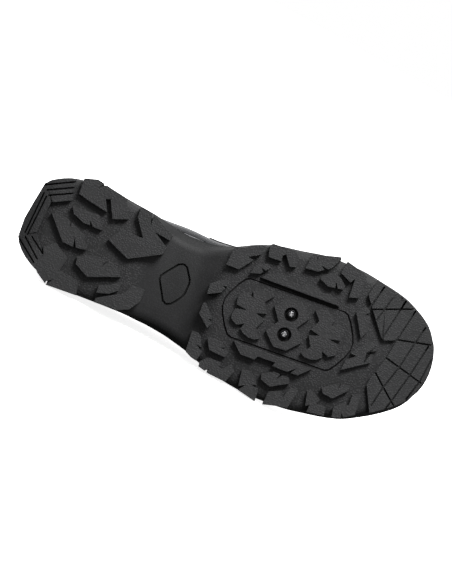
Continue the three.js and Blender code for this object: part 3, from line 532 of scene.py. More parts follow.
# The lugs, heel bars and toe plates: blocks of the same rubber, moulded with the body. Their ground
# faces are those of the CAD sole; each is drawn up into the body, and those at the edge taper into
# its side wall. Their edges are slightly rounded.
SIDE_WALL = 3
SIDE_CHAMFER = 6
SIDE_MARGIN = 1
GROUND_TOLERANCE = 0.4
SAME_POINT = 0.00001
ROUNDED_FROM = math.radians(28)
LUG_EDGE = 0.00015


def stands_on_ground(face):
    spots = [in_shoe(vertex.co) for vertex in face.verts]
    level = all(abs(spot.z - ground_height(spot.x)) < GROUND_TOLERANCE for spot in spots)
    return level and face.normal.dot(SOLEWARD) > 0.8


def islands(shape):
    """The faces of a bmesh, as one list for each piece that hangs together."""
    left = set(shape.faces)
    found = []
    for first in shape.faces:
        if first not in left:
            continue
        left.remove(first)
        waiting = [first]
        island = []
        while waiting:
            face = waiting.pop()
            island.append(face)
            near = {other for edge in face.edges for other in edge.link_faces} & left
            left -= near
            waiting.extend(near)
        found.append(island)
    return found


def lifted(shape, faces, keep):
    """The same faces again, joined by walls to the old ones, and their points."""
    made = bmesh.ops.extrude_face_region(shape, geom=faces, use_keep_orig=keep)["geom"]
    return ([item for item in made if isinstance(item, bmesh.types.BMFace)],
            [item for item in made if isinstance(item, bmesh.types.BMVert)])


def round_edges(shape, edges, width):
    """Rounds those of these edges that are sharp."""
    sharp = [edge for edge in edges if edge.calc_face_angle(0) > ROUNDED_FROM]
    bmesh.ops.bevel(shape, geom=sharp, offset=width, offset_type="OFFSET", segments=2, profile=0.5,
                    affect="EDGES", material=-1, clamp_overlap=True)


def even_faces(piece):
    """Keeps flat faces evenly lit up to their rounded edges."""
    piece.modifiers.new("even faces", "WEIGHTED_NORMAL").keep_sharp = True


lug_shape = bmesh.new()
lug_shape.from_mesh(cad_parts["outsole"].data)
bmesh.ops.remove_doubles(lug_shape, verts=lug_shape.verts, dist=SAME_POINT)
others = [face for face in lug_shape.faces if not stands_on_ground(face)]
bmesh.ops.delete(lug_shape, geom=others, context="FACES")
bmesh.ops.dissolve_limit(lug_shape, angle_limit=math.radians(0.5), verts=lug_shape.verts,
                         edges=lug_shape.edges)
bmesh.ops.dissolve_degenerate(lug_shape, dist=0.00005, edges=lug_shape.edges)
shoulders, points = lifted(lug_shape, list(lug_shape.faces), True)
for point in points:
    spot = in_shoe(point.co)
    point.co = in_row((spot.x, spot.y, base_height(spot.x) + SIDE_WALL))
points = lifted(lug_shape, shoulders, False)[1]
for point in points:
    spot = in_shoe(point.co)
    medial, lateral = sole_edges(spot.x)[:2]
    inside = min(max(spot.y, medial + SIDE_MARGIN), lateral - SIDE_MARGIN)
    point.co = in_row((spot.x, inside, base_height(spot.x) + SIDE_WALL + SIDE_CHAMFER))
bmesh.ops.recalc_face_normals(lug_shape, faces=lug_shape.faces)
hidden = set(points)
for island in islands(lug_shape):
    edges = {edge for face in island for edge in face.edges}
    round_edges(lug_shape, [edge for edge in edges if not hidden.intersection(edge.verts)], LUG_EDGE)
tread_lugs = piece_from(lug_shape, "tread_lugs", 50)
even_faces(tread_lugs)
mark_wear_and_shade(tread_lugs)
tread_lugs.data.materials.append(tread_rubber)
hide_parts("outsole")
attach(tread_lugs, "root")

# The cleat cover: a rubber plate with six splayed lugs at each end, bolted down where a cleat
# would go. It is the tread's own rubber, its edges slightly rounded.
COVER_EDGE = 0.00015
BOLT_SPACING = 14
SCREW_RECESS = 4.8
RECESS_FROM = 1.2


def in_screw_recess(spot):
    """Whether a point lies below the cover's face in the recess of one of its screws, where the rubber
    is painted near-black as shade.
    """
    bolts = [cover_middle + Vector((0, side * BOLT_SPACING / 2)) for side in (-1, 1)]
    away = min((spot.xy - bolt).length for bolt in bolts)
    return spot.z > RECESS_FROM and away < SCREW_RECESS + 0.1


cover_shape = bmesh.new()
cover_shape.from_mesh(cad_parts["cleat_cover"].data)
bmesh.ops.remove_doubles(cover_shape, verts=cover_shape.verts, dist=SAME_POINT)
bmesh.ops.dissolve_limit(cover_shape, angle_limit=math.radians(0.6), verts=cover_shape.verts,
                         edges=cover_shape.edges)
bmesh.ops.dissolve_degenerate(cover_shape, dist=0.0004, edges=cover_shape.edges)
round_edges(cover_shape, cover_shape.edges, COVER_EDGE)
cover = piece_from(cover_shape, "cover_plate", 50)
even_faces(cover)
# The recesses round the screws are painted near-black as shade.
mark_wear_and_shade(cover, in_screw_recess)
cover.data.materials.append(tread_rubber)
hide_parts("cleat_cover")
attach(cover, "root")

# The two screws of the cover: blackened steel cap heads with a hexagon socket, whose sloping walls
# the driver has scuffed bare.
SCREW_SIDES = 48
SCREW_RINGS = [
    # radius, height above the head's face; the socket's rings come first
    [0.8, -1.3],
    [1.55, -0.3],
    [1.8, 0.0],
    [2.5, 0.0],
    [2.85, -0.12],
    [3.0, -0.45],
    [3.0, -2.2],
    [2.2, -2.2],
    [2.2, -8.2],
]
SOCKET_RINGS = 3
SOCKET_FLOOR = -1


def screw(name, node):
    """Rings drawn out from the socket's floor to the shank's end, in the place of the CAD screw. Its
    second material is for the socket's sloping walls."""
    low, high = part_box(node)
    middle = in_shoe((low + high) / 2)
    corners = [in_shoe(vertex.co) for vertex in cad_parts[node].data.vertices]
    face = min(corner.z for corner in corners)
    shape = bmesh.new()
    bmesh.ops.create_circle(shape, segments=SCREW_SIDES, radius=1, cap_ends=False)
    edges = list(shape.edges)
    for row, (radius, height) in enumerate(SCREW_RINGS):
        if row:
            made = bmesh.ops.extrude_edge_only(shape, edges=edges)["geom"]
            edges = [item for item in made if isinstance(item, bmesh.types.BMEdge)]
        for vertex in {vertex for edge in edges for vertex in edge.verts}:
            turn = math.atan2(vertex.co.y, vertex.co.x)
            reach = radius
            if row < SOCKET_RINGS:
                flat = turn % (math.pi / 3) - math.pi / 6
                reach = radius * math.cos(math.pi / 6) / math.cos(flat)
            vertex.co = Vector((math.cos(turn) * reach, math.sin(turn) * reach, height))
    socket_radius = SCREW_RINGS[SOCKET_RINGS - 1][0]
    for facet in shape.faces:
        centre = facet.calc_center_median()
        facet.material_index = 1 if centre.xy.length < socket_radius and centre.z > SOCKET_FLOOR else 0
    bmesh.ops.holes_fill(shape, edges=shape.edges, sides=SCREW_SIDES)
    for vertex in shape.verts:
        vertex.co = in_row((middle.x + vertex.co.x, middle.y + vertex.co.y, face - vertex.co.z))
    bmesh.ops.recalc_face_normals(shape, faces=shape.faces)
    piece = piece_from(shape, name, 32)
    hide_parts(node)
    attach(piece, "root")
    return piece


def steel(name, dark, pale):
    """Turned steel, lightly scuffed."""
    material, surface, start = start_finish(name, {"Metallic": 1.0})
    place = start.node("ShaderNodeTexCoord", output=3)
    scuff = noise(start, place, 900, 3)
    feed(surface, Base_Color=mixed(scuff, dark, pale))
    feed(surface, Roughness=scuff * 0.25 + 0.2)
    feed(surface, Normal=start.node("ShaderNodeBump", None, {
        "Strength": 0.2, "Distance": 0.00005, "Height": scuff}))
    return material


black_steel = steel("blackened steel", (0.006, 0.006, 0.0065, 1), (0.02, 0.02, 0.021, 1))
bare_steel = steel("bare steel", (0.25, 0.25, 0.26, 1), (0.45, 0.45, 0.45, 1))
for side in ("medial", "lateral"):
    made = screw(f"screw_{side}", f"cleat_screw_{side}")
    made.data.materials.append(black_steel)
    made.data.materials.append(bare_steel)

# The upper: one hollow shell of black coated leather, lasted over the sole, with a stiff counter
# round the heel. Its table gives the last's sections, which every layer of the upper follows.
INSTEP_HEIGHT = 96
UPPER_WALL = 2.4
FIT_GAP = 0.3
COUNTER_STEP = 1.2
COUNTER_EDGE = [-1, 3.5]
COLLAR_BACK = 94
HEEL_INSET = 1.5
TOE_INSET = 0.6
HEEL_LEAN = 6
HEEL_LEAN_FROM = 45
HEEL_LEAN_REACH = 80
SEAM_TUCK = 2
SEAM_TUCK_HEIGHT = 9
UPPER_COLUMNS = 120
UPPER_ROWS = 60
LAST_COLUMNS = ["along", "medial", "lateral", "ridge", "top", "square"]
LAST_ROWS = [
    # along, in hundredths of the last's length, the edges and the ridge, of the ball's width, and
    # the top, of the instep's height; then how square the section is
    [0.0, -3.9, 5.9, 0.5, 133, 2.8],
    [1.1, -15.7, 14.7, 0.5, 133, 2.8],
    [3.0, -23.0, 21.1, 0.5, 133, 2.8],
    [6.6, -29.4, 27.0, 0.5, 133, 2.8],
    [11.2, -32.8, 30.9, 0.5, 133, 2.8],
    [17.4, -32.8, 32.4, 1.0, 133, 2.8],
    [24.4, -31.2, 33.3, 1.5, 133, 2.7],
    [31.4, -30.2, 35.3, 2.5, 132, 2.5],
    [34.8, -30.2, 36.9, 3.0, 126, 2.3],
    [37.6, -29.9, 38.4, 3.4, 117, 2.2],
    [40.4, -29.1, 40.6, 3.7, 107, 2.1],
    [43.6, -28.4, 42.9, 4.0, 100, 2.0],
    [48.8, -29.2, 46.7, 4.0, 91, 2.0],
    [54.0, -32.5, 50.5, 3.5, 83, 2.0],
    [59.2, -35.8, 53.4, 3.0, 76.5, 2.1],
    [66.2, -38.2, 55.4, 2.5, 69, 2.2],
    [73.2, -38.8, 54.6, 2.5, 63, 2.4],
    [80.1, -36.3, 51.0, 3.0, 58, 2.5],
    [85.8, -32.6, 46.6, 3.5, 55, 2.5],
    [90.4, -28.2, 41.2, 4.0, 53, 2.4],
    [94.0, -23.4, 35.6, 4.5, 50, 2.3],
    [96.9, -17.4, 29.0, 5.0, 45.5, 2.2],
    [98.7, -11.6, 22.4, 5.5, 40, 2.2],
    [99.7, -3.2, 14.6, 6.0, 35.5, 2.1],
    [100.0, 2.9, 8.8, 6.0, 33.5, 2.0],
]
COLLAR_LINE = [[-6.0, 101], [2.0, 100], [5.5, 97], [11.0, 88], [17.0, 79.5], [23.0, 76.5], [28.5, 80],
               [33.0, 91], [37.0, 105], [42.0, 116]]
THROAT_LINE = [[32.0, 17.5], [36.0, 16.5], [42.0, 14.5], [54.0, 12.5], [64.0, 10.5], [68.0, 8.5], [70.5, 5]]
COUNTER_FRONT = [[0, 27], [40, 24], [66, 16], [78, 8], [84, -6]]
LAST_MIDDLE = (SOLE_LENGTH + HEEL_INSET - TOE_INSET) / 2
LAST_HALF = (SOLE_LENGTH - HEEL_INSET - TOE_INSET) / 2


class Section:
    """One cross-section of the last, grown all round by so many millimetres."""

    def __init__(self, along, grow):
        values = {name: read_line(LAST_ROWS, i, along) for i, name in enumerate(LAST_COLUMNS) if i}
        self.x = LAST_MIDDLE + (along / 50 - 1) * (LAST_HALF + grow)
        self.seat = seat_height(self.x)
        self.ridge = values["ridge"] / 100 * BALL_WIDTH
        self.top = max(values["top"] / 100 * INSTEP_HEIGHT + grow, self.seat + 1)
        self.edges = {
            -1: min(values["medial"] / 100 * BALL_WIDTH - grow, self.ridge - 1),
            1: max(values["lateral"] / 100 * BALL_WIDTH + grow, self.ridge + 1),
        }
        self.power = 2 / values["square"]

    def point(self, side, angle):
        """The point on that side, at an angle from the feather edge, 0, to the ridge, a quarter turn."""
        across = max(math.cos(angle), 0)
        z = self.seat + (self.top - self.seat) * math.sin(angle) ** self.power
        y = self.ridge + (self.edges[side] - self.ridge) * across**self.power
        if abs(self.edges[side] - self.ridge) > 2 * SEAM_TUCK:
            y -= side * SEAM_TUCK * math.exp((self.seat - z) / SEAM_TUCK_HEIGHT) * across
        fade = max(0, 1 - self.x / HEEL_LEAN_REACH)
        lean = (min(z, COLLAR_BACK * 1.1) - HEEL_LEAN_FROM) / (COLLAR_BACK - HEEL_LEAN_FROM)
        return Vector((self.x + HEEL_LEAN * lean**2 * fade**2, y, z))

    def angle_at_height(self, z):
        share = (z - self.seat) / (self.top - self.seat)
        if share >= 1:
            return math.pi / 2
        return math.asin(max(share, 0) ** (1 / self.power))

    def angle_at_reach(self, side, reach):
        """The angle at that distance to the side of the ridge."""
        share = reach / abs(self.edges[side] - self.ridge)
        if share >= 1:
            return 0
        return math.acos(share ** (1 / self.power))


def section_at(x, grow):
    return Section(50 * ((x - LAST_MIDDLE) / (LAST_HALF + grow) + 1), grow)


def collar_height(x):
    return read_line(COLLAR_LINE, 1, x / SOLE_LENGTH * 100) / 100 * COLLAR_BACK


def throat_half(x):
    return read_line(THROAT_LINE, 1, x / SOLE_LENGTH * 100) / 100 * BALL_WIDTH


def feather_edge(section, side):
    """The angle at which the upper meets the sole."""
    return section.angle_at_height(section.seat + FIT_GAP)


def upper_top(section, side):
    """The angle of the upper's top edge: the collar, then the throat, then the ridge."""
    angle = section.angle_at_height(collar_height(section.x))
    for _ in range(3):
        angle = section.angle_at_height(collar_height(section.point(side, angle).x))
    along = section.x / SOLE_LENGTH * 100
    if THROAT_LINE[0][0] <= along <= THROAT_LINE[-1][0]:
        angle = min(angle, section.angle_at_reach(side, throat_half(section.x)))
    return angle


def around_last(steps, cap=3):
    """Columns (side, along) once round the last, from the toe over the arch side to the heel and
    back on the outer side. Between -1 and 1, a side crosses the end of the heel or the toe."""
    places = eased(steps, 0, 100)
    crossing = [(i + 1) / (cap + 1) * 2 - 1 for i in range(cap)]
    columns = [(-1, along) for along in reversed(places)]
    columns += [(side, 0) for side in crossing]
    columns += [(1, along) for along in places]
    columns += [(side, 100) for side in reversed(crossing)]
    return columns + [(-1, 100)]


def on_ring(columns, low, high):
    """Spots of a layer whose columns are (side, along), each from its low to its high angle."""
    def spot_at(column, share, growth):
        side, along = columns[column]
        points = []
        for end in [side] if abs(side) == 1 else [-1, 1]:
            section = Section(along, growth(None, end, share))
            start, stop = low(section, end), high(section, end)
            angle = start + (stop - start) * share
            grown_by = growth(section.point(end, angle), end, share)
            points.append(Section(along, grown_by).point(end, angle))
        return points[0] if len(points) == 1 else points[0].lerp(points[1], (side + 1) / 2)

    return spot_at


def layer(name, columns, rows, outside, inside, spot_at, edge=0.0005):
    """A closed layer: a grid whose outside and inside are each placed by spot_at with their own
    growth, its edges rounded."""
    shape = bmesh.new()
    bmesh.ops.create_grid(shape, x_segments=columns - 1, y_segments=rows, size=1)
    column_of = shape.verts.layers.float.new("column")
    share_of = shape.verts.layers.float.new("share")
    for vertex in shape.verts:
        vertex[column_of] = round((vertex.co.x + 1) / 2 * (columns - 1))
        vertex[share_of] = (vertex.co.y + 1) / 2
    for vertex in shape.verts:
        vertex.co = in_row(spot_at(round(vertex[column_of]), vertex[share_of], outside))
    bmesh.ops.remove_doubles(shape, verts=shape.verts, dist=0.00003)
    for vertex in lifted(shape, list(shape.faces), True)[1]:
        vertex.co = in_row(spot_at(round(vertex[column_of]), vertex[share_of], inside))
    bmesh.ops.recalc_face_normals(shape, faces=shape.faces)
    shape.verts.layers.float.remove(shape.verts.layers.float["column"])
    shape.verts.layers.float.remove(shape.verts.layers.float["share"])
    piece = piece_from(shape, name)
    rounding = piece.modifiers.new("rounded edges", "BEVEL")
    rounding.width = edge
    rounding.segments = 2
    rounding.limit_method = "ANGLE"
    rounding.angle_limit = math.radians(50)
    return piece


def grown(millimetres):
    """A growth that is the same all over a layer."""
    return lambda spot, side, share: millimetres


# The creases of the vamp, where the forefoot bends: each runs over the ridge from its medial to its
# lateral end, fades out towards the sole and has a low swell on either side.
CREASE_ACROSS = [-42, 6, 58]
CREASE_FADE = [30, 44]
CREASE_SWELL = 0.45
CREASES = [
    # medial along, middle along, lateral along, width, depth
    [69.5, 70.6, 67.0, 2.6, 0.9],
    [73.5, 73.8, 70.2, 2.2, 0.7],
    [66.0, 67.4, 63.6, 2.2, 0.6],
]


def creased(spot):
    """How far the creases press a point of the vamp in."""
    across = spot.y / BALL_WIDTH * 100
    pressed = 0
    for medial, middle, lateral, width, depth in CREASES:
        place = read_line(list(zip(CREASE_ACROSS, (medial, middle, lateral))), 1, across)
        away = (spot.x - place / 100 * SOLE_LENGTH) / width
        swell = CREASE_SWELL * math.exp(-(abs(away) - 2) ** 2)
        pressed += depth * smooth(*CREASE_FADE, spot.z) * (math.exp(-away**2) - swell)
    return pressed


def upper_outside(spot, side, share):
    """The counter's step round the heel, and the creases of the vamp."""
    if spot is None:
        return 0
    front = read_line(COUNTER_FRONT, 1, spot.z / INSTEP_HEIGHT * 100)
    ahead = (front - spot.x / SOLE_LENGTH * 100) / 100 * SOLE_LENGTH
    return COUNTER_STEP * smooth(*COUNTER_EDGE, ahead) - creased(spot)


def leather(name, dark, pale, shine):
    """Coated leather: a fine pebble of cells with soft wrinkles, matt with a low sheen."""
    material, surface, start = start_finish(name, {"Coat Weight": shine, "Coat Roughness": 0.42})
    place = start.node("ShaderNodeTexCoord", output=3)
    cloud = noise(start, place, 45, 4, 0.6)
    cells = start.node("ShaderNodeTexVoronoi", {"feature": "DISTANCE_TO_EDGE"}, {
        "Vector": place, "Scale": 900.0, "Randomness": 0.9})
    pores = noise(start, place, PORE_SCALE, 2)
    feed(surface, Base_Color=mixed(span(cloud, 0.3, 0.75), dark, pale))
    feed(surface, Roughness=cloud * 0.14 + pores * 0.1 + 0.36)
    height = span(cells, 0.0, 0.25) * 0.8 + pores * 0.25 + noise(start, place, 220, 3) * 0.6
    grain = start.node("ShaderNodeBump", None, {"Strength": 0.35, "Distance": 0.00022, "Height": height})
    feed(surface, Normal=grain)
    return material


upper_leather = leather("upper leather", (0.016, 0.0165, 0.018, 1), (0.028, 0.029, 0.031, 1), 0.12)
ring_columns = around_last(UPPER_COLUMNS)
upper_shell = layer("upper_shell", len(ring_columns), UPPER_ROWS, upper_outside, grown(-UPPER_WALL),
                    on_ring(ring_columns, feather_edge, upper_top))
upper_shell.data.materials.append(upper_leather)
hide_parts("upper")
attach(upper_shell, "root")

# The toe cap: a thin bumper of smooth black rubber, moulded with a rounded edge and bonded over the
# toe of the upper, down to the sole.
TOE_CAP_THICKNESS = 1.5
TOE_CAP_START = 82.0
TOE_CAP_STEPS = 36
TOE_CAP_ROWS = 30
TOE_CAP_TOP = [[82, -10], [82.01, 24], [87, 33], [93, 41], [104, 45]]


def toe_cap_top(section, side):
    height = read_line(TOE_CAP_TOP, 1, section.x / SOLE_LENGTH * 100) / 100 * INSTEP_HEIGHT
    return max(section.angle_at_height(height), 0.03)


toe_places = [TOE_CAP_START + (100 - TOE_CAP_START) * math.sin(math.pi / 2 * i / TOE_CAP_STEPS)
              for i in range(TOE_CAP_STEPS + 1)]
toe_columns = [(1, along) for along in toe_places] + [(side, 100) for side in (0.5, 0, -0.5)]
toe_columns += [(-1, along) for along in reversed(toe_places)]
toe_bumper = layer("toe_bumper", len(toe_columns), TOE_CAP_ROWS, grown(FIT_GAP + TOE_CAP_THICKNESS),
                   grown(FIT_GAP), on_ring(toe_columns, feather_edge, toe_cap_top), 0.0006)
toe_bumper.data.materials.append(rubber("cap rubber", 0.3))
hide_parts("toe_cap")
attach(toe_bumper, "root")

# The tongue: foam between two layers of knitted mesh, under the throat and sewn in at its front,
# with two long sewn channels that divide it into three pads.
TONGUE_START = 102.5
TONGUE_END = 209.0
TONGUE_OVERLAP = 7
TONGUE_TOP = 115.5
TONGUE_THICKNESS = 4
TONGUE_CROWN = 1.9
TONGUE_CHANNEL = 1.5
TONGUE_CHANNEL_PLACE = 0.36
TONGUE_CHANNEL_WIDTH = 0.05
TONGUE_HEM = 0.6
TONGUE_TIP = 10
TONGUE_TAIL = 6
TONGUE_COLUMNS = 90
TONGUE_ROWS = 56
LINING_OUTSIDE = -(UPPER_WALL + FIT_GAP)


def tongue_half(x):
    """Half the tongue's width: wider than the throat, rounded at its front end."""
    half = throat_half(x) + TONGUE_OVERLAP
    front = max(x - (TONGUE_END - TONGUE_TIP), 0) / (TONGUE_TIP + 0.5)
    back = max(TONGUE_START + TONGUE_TAIL - x, 0) / (TONGUE_TAIL + 3)
    return half * math.sqrt(1 - front**2) * math.sqrt(1 - back**2)


tongue_places = eased(TONGUE_COLUMNS, TONGUE_START, TONGUE_END)


def tongue_spot(column, share, growth):
    x = tongue_places[column]
    across = share * 2 - 1
    side = -1 if across < 0 else 1
    section = section_at(x, growth(None, side, share))
    reach = abs(across) * tongue_half(x)
    grown_by = growth(section.point(side, section.angle_at_reach(side, reach)), side, share)
    section = section_at(x, grown_by)
    spot = section.point(side, section.angle_at_reach(side, reach))
    spot.z = min(spot.z, TONGUE_TOP)
    return spot


def tongue_outside(spot, side, share):
    """Crowned pads between the sewn channels."""
    if spot is None:
        return LINING_OUTSIDE
    across = abs(share * 2 - 1)
    ends = smooth(TONGUE_START, TONGUE_START + 8, spot.x) * (1 - smooth(TONGUE_END - 12, TONGUE_END, spot.x))
    crown = TONGUE_CROWN * (1 - across**4) * ends
    off_channel = (across - TONGUE_CHANNEL_PLACE) / TONGUE_CHANNEL_WIDTH
    channel = TONGUE_CHANNEL * math.exp(-off_channel**2) * ends
    return LINING_OUTSIDE - 0.2 + crown - channel - TONGUE_HEM * smooth(0.85, 1, across)


def tongue_inside(spot, side, share):
    """The foam thins out towards the tongue's long edges."""
    across = abs(share * 2 - 1)
    return LINING_OUTSIDE - TONGUE_THICKNESS * (1 - 0.55 * across**4)


def knit(name, dark, pale):
    """Knitted mesh: small round holes in rows, matt and slightly fuzzy."""
    material, surface, start = start_finish(name, {"Roughness": 0.92, "Sheen Weight": 0.35})
    place = start.node("ShaderNodeTexCoord", output=3)
    holes = start.node("ShaderNodeTexVoronoi", {"feature": "F1"}, {
        "Vector": place, "Scale": 620.0, "Randomness": 0.18})
    threads = span(holes, 0.18, 0.5)
    fuzz = noise(start, place, 1800, 2)
    feed(surface, Base_Color=mixed(threads * 0.8 + fuzz * 0.2, dark, pale))
    height = threads + fuzz * 0.3
    weave = start.node("ShaderNodeBump", None, {"Strength": 0.6, "Distance": 0.0003, "Height": height})
    feed(surface, Normal=weave)
    return material


lining_fabric = knit("lining fabric", (0.006, 0.006, 0.0065, 1), (0.036, 0.036, 0.039, 1))
tongue = layer("tongue_pad", len(tongue_places), TONGUE_ROWS, tongue_outside, tongue_inside, tongue_spot,
               0.0009)
tongue.data.materials.append(lining_fabric)
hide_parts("tongue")
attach(tongue, "root")

# The collar's padding: two rolls of foam under knitted mesh, one above the other, sewn between and
# along their edges, inside the upper round the ankle.
COLLAR_PAD_THICKNESS = 4.5
COLLAR_PAD_DEPTH = 34
COLLAR_PAD_DROP = 1
COLLAR_PAD_FRONT = 30
COLLAR_PAD_EDGE = 1.1
COLLAR_PAD_SEAM = 0.57
COLLAR_PAD_COLUMNS = 70
COLLAR_PAD_ROWS = 44


def collar_pad_low(section, side):
    return section.angle_at_height(collar_height(section.x) - COLLAR_PAD_DEPTH)


def collar_pad_high(section, side):
    angle = section.angle_at_height(collar_height(section.x))
    for _ in range(3):
        height = collar_height(section.point(side, angle).x) - COLLAR_PAD_DROP
        angle = section.angle_at_height(height)
    return angle


def collar_pad_inside(spot, side, share):
    """Two rolls, flattened towards the sewn edges and the front ends."""
    if spot is None:
        return LINING_OUTSIDE - COLLAR_PAD_THICKNESS
    if share < COLLAR_PAD_SEAM:
        turn = 0.125 + 1.625 * share
    else:
        turn = (share - COLLAR_PAD_SEAM) / (1 - COLLAR_PAD_SEAM)
    roll = math.sqrt(abs(math.sin(math.pi * turn)))
    front = COLLAR_PAD_FRONT / 100 * SOLE_LENGTH
    fade = 1 - smooth(front - 10, front, spot.x)
    swell = (COLLAR_PAD_THICKNESS - COLLAR_PAD_EDGE) * roll * (0.3 + 0.7 * fade)
    return LINING_OUTSIDE - COLLAR_PAD_EDGE - swell


collar_places = eased(COLLAR_PAD_COLUMNS, 0, COLLAR_PAD_FRONT)
collar_columns = [(-1, along) for along in reversed(collar_places)] + [(-0.5, 0), (0, 0), (0.5, 0)]
collar_columns += [(1, along) for along in collar_places]
collar_pad = layer("collar_padding", len(collar_columns), COLLAR_PAD_ROWS, grown(LINING_OUTSIDE),
                   collar_pad_inside, on_ring(collar_columns, collar_pad_low, collar_pad_high), 0.0007)
collar_pad.data.materials.append(lining_fabric)
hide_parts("collar_pad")
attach(collar_pad, "root")

# The insole: brushed cloth on thin foam, laid loose on the sole, its edges cupped a little where
# the foot has pressed it, more so at the heel.
INSOLE_GROW = -3.0
INSOLE_THICKNESS = 3.6
INSOLE_EDGE_HEIGHT = 2
INSOLE_PRESSED = 0.5
INSOLE_HEEL = [20, 110]
INSOLE_BALL = [140, 180, 215, 250]
INSOLE_COLUMNS = 90
INSOLE_ROWS = 30

insole_places = eased(INSOLE_COLUMNS, 0, 100)


def insole_spot(column, share, growth):
    section = Section(insole_places[column], INSOLE_GROW)
    angle = section.angle_at_height(section.seat + INSOLE_EDGE_HEIGHT)
    spot = section.point(-1, angle).lerp(section.point(1, angle), share)
    spot.z = seat_height(spot.x) + growth(spot, 0, share)
    return spot


def insole_top(spot, side, share):
    """Pressed in under the heel and the ball of the foot, and rounded at its edges."""
    across = abs(share * 2 - 1)
    heel = 1 - smooth(*INSOLE_HEEL, spot.x)
    ball = smooth(*INSOLE_BALL[:2], spot.x) * (1 - smooth(*INSOLE_BALL[2:], spot.x))
    pressed = INSOLE_PRESSED * (1 - across**2) * (heel + ball)
    return FIT_GAP + INSOLE_THICKNESS - 0.5 * across**8 - pressed


insole_fabric, insole_surface, insole_start = start_finish(
    "insole fabric", {"Roughness": 0.95, "Sheen Weight": 0.4})
insole_place = insole_start.node("ShaderNodeTexCoord", output=3)
brushed = noise(insole_start, insole_place, 700, 3, 0.65)
feed(insole_surface, Base_Color=mixed(brushed, (0.030, 0.030, 0.032, 1), (0.075, 0.075, 0.079, 1)))
feed(insole_surface, Normal=insole_start.node(
    "ShaderNodeBump", None, {"Strength": 0.5, "Distance": 0.0002, "Height": brushed}))
insole = layer("insole_sheet", len(insole_places), INSOLE_ROWS, insole_top, grown(FIT_GAP), insole_spot,
               0.0006)
insole.data.materials.append(insole_fabric)
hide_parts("insole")
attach(insole, "root")

# The two straps: coated hook-and-loop bands that run over the throat from the outer side to the
# arch side, where their rounded ends lie on the upper, each sewn along both edges.
STRAP_WIDTH = 25
STRAP_THICKNESS = 2
STRAP_MEDIAL_END = 33
STRAP_TIP_THICKNESS = 0.7
STRAP_TIP_ROUND = 7
STRAP_TIP_FADE = [0.02, 0.22]
STRAP_LATERAL_END = 58
STRAP_ROWS = [
    # name, CAD node, along, lean
    ["strap_back", "strap_rear", 47, 0.10],
    ["strap_fore", "strap_front", 61, 0.16],
]
STRAP_STEPS = 22
STRAP_LENGTHS = 90


def strap_spot_at(along, lean, column, share, grown_by):
    """A spot of a strap: column across its width, and share from its medial to its lateral end."""
    beside = column / STRAP_STEPS * 2 - 1
    x = along / 100 * SOLE_LENGTH + beside * STRAP_WIDTH / 2
    end_round = STRAP_TIP_ROUND * (1 - math.sqrt(1 - min(abs(beside), 1) ** 4))
    spot = None
    for _ in range(4):
        section = section_at(x if spot is None else x + spot.y * lean, grown_by)
        low = section.angle_at_height(STRAP_MEDIAL_END + end_round)
        far = section.angle_at_height(STRAP_LATERAL_END)
        turn = low + (math.pi - far - low) * share
        side, angle = (-1, turn) if turn < math.pi / 2 else (1, math.pi - turn)
        spot = section.point(side, angle)
    return spot


def strap_outside(spot, side, share):
    """The strap thins out towards its pressed tip on the arch side."""
    past_tip = smooth(*STRAP_TIP_FADE, share)
    return FIT_GAP + STRAP_TIP_THICKNESS + (STRAP_THICKNESS - STRAP_TIP_THICKNESS) * past_tip


strap_leather = leather("strap webbing", (0.010, 0.0102, 0.011, 1), (0.020, 0.0205, 0.022, 1), 0.08)
for name, node, along, lean in STRAP_ROWS:
    band = layer(name, STRAP_STEPS + 1, STRAP_LENGTHS, strap_outside, grown(FIT_GAP),
                 lambda column, share, growth: strap_spot_at(
                     along, lean, column, share, growth(None, 0, share)), 0.0006)
    band.data.materials.append(strap_leather)
    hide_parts(node)
    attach(band, "root")

# The stitches: one row of thread along the collar and the throat, one round the heel counter's
# front edge, and one along each edge of the straps.
STITCH_PITCH = 3.1
STITCH_LENGTH = 2.3
STITCH_WIDTH = 0.55
STITCH_PROUD = 0.1
COLLAR_STITCH_DROP = 3
THROAT_STITCH_INSET = 3.2
COUNTER_STITCH_INSET = 2.6
STRAP_STITCH_STEPS = 2


def stitch_row(shape, path):
    """Stitches end to end along a path of spots on the standing shoe."""
    left = STITCH_PITCH / 2
    for start, end in zip(path, path[1:]):
        gap = (end - start).length
        while left <= gap:
            centre = start.lerp(end, left / gap)
            turn = (in_row(end) - in_row(start)).to_track_quat("X", "Z")
            sizes = Vector((STITCH_LENGTH, STITCH_WIDTH, STITCH_WIDTH)) / 2000
            bmesh.ops.create_icosphere(shape, subdivisions=1, radius=1,
                                       matrix=Matrix.LocRotScale(in_row(centre), turn, sizes))
            left += STITCH_PITCH
        left -= gap


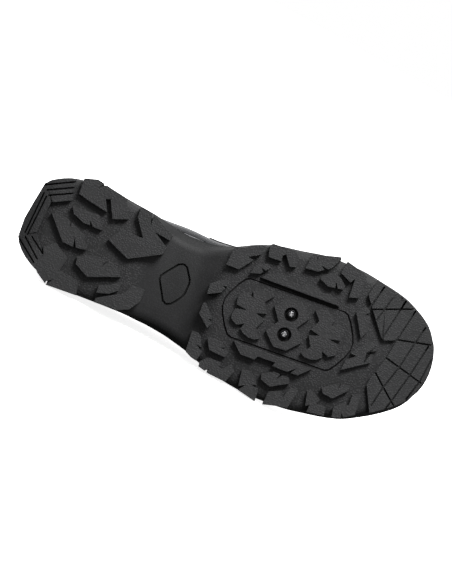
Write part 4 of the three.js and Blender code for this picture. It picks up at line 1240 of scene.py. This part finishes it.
def line_of(count, start, end, spot_of):
    return [spot_of(start + (end - start) * i / count) for i in range(count + 1)]


def collar_stitch(side, x):
    section = section_at(x, STITCH_PROUD)
    spot = section.point(side, section.angle_at_height(collar_height(x) - COLLAR_STITCH_DROP))
    section = section_at(x, upper_outside(spot, side, 1) + STITCH_PROUD)
    return section.point(side, section.angle_at_height(collar_height(spot.x) - COLLAR_STITCH_DROP))


def throat_stitch(side, x):
    section = section_at(x, STITCH_PROUD)
    reach = throat_half(x) + THROAT_STITCH_INSET
    spot = section.point(side, section.angle_at_reach(side, reach))
    section = section_at(x, STITCH_PROUD - creased(spot))
    return section.point(side, section.angle_at_reach(side, reach))


def counter_stitch(side, z):
    front = read_line(COUNTER_FRONT, 1, z / INSTEP_HEIGHT * 100) / 100 * SOLE_LENGTH
    section = section_at(front - COUNTER_STITCH_INSET, COUNTER_STEP + STITCH_PROUD)
    return section.point(side, section.angle_at_height(z))


thread_finish, thread_surface, thread_start = start_finish("thread", {"Roughness": 0.7})
thread_place = thread_start.node("ShaderNodeTexCoord", output=3)
feed(thread_surface, Base_Color=mixed(noise(thread_start, thread_place, 1500), (0.02, 0.02, 0.021, 1),
                                      (0.05, 0.05, 0.053, 1)))
upper_thread = bmesh.new()
for side in (-1, 1):
    stitch_row(upper_thread, line_of(60, 6, 88, lambda x: collar_stitch(side, x)))
    stitch_row(upper_thread, line_of(60, 108, 197, lambda x: throat_stitch(side, x)))
    stitch_row(upper_thread, line_of(40, 34, 74, lambda z: counter_stitch(side, z)))
strap_thread = bmesh.new()
for *_, along, lean in STRAP_ROWS:
    for column in (STRAP_STITCH_STEPS, STRAP_STEPS - STRAP_STITCH_STEPS):
        stitch_row(strap_thread, line_of(80, 0.04, 0.97, lambda share: strap_spot_at(
            along, lean, column, share, strap_outside(None, 0, share) + STITCH_PROUD)))
for name, shape, finish in (("upper_stitches", upper_thread, "upper_leather"),
                            ("strap_stitches", strap_thread, "strap_webbing")):
    thread = piece_from(shape, name)
    thread.data.materials.append(thread_finish)
    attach(thread, "root")
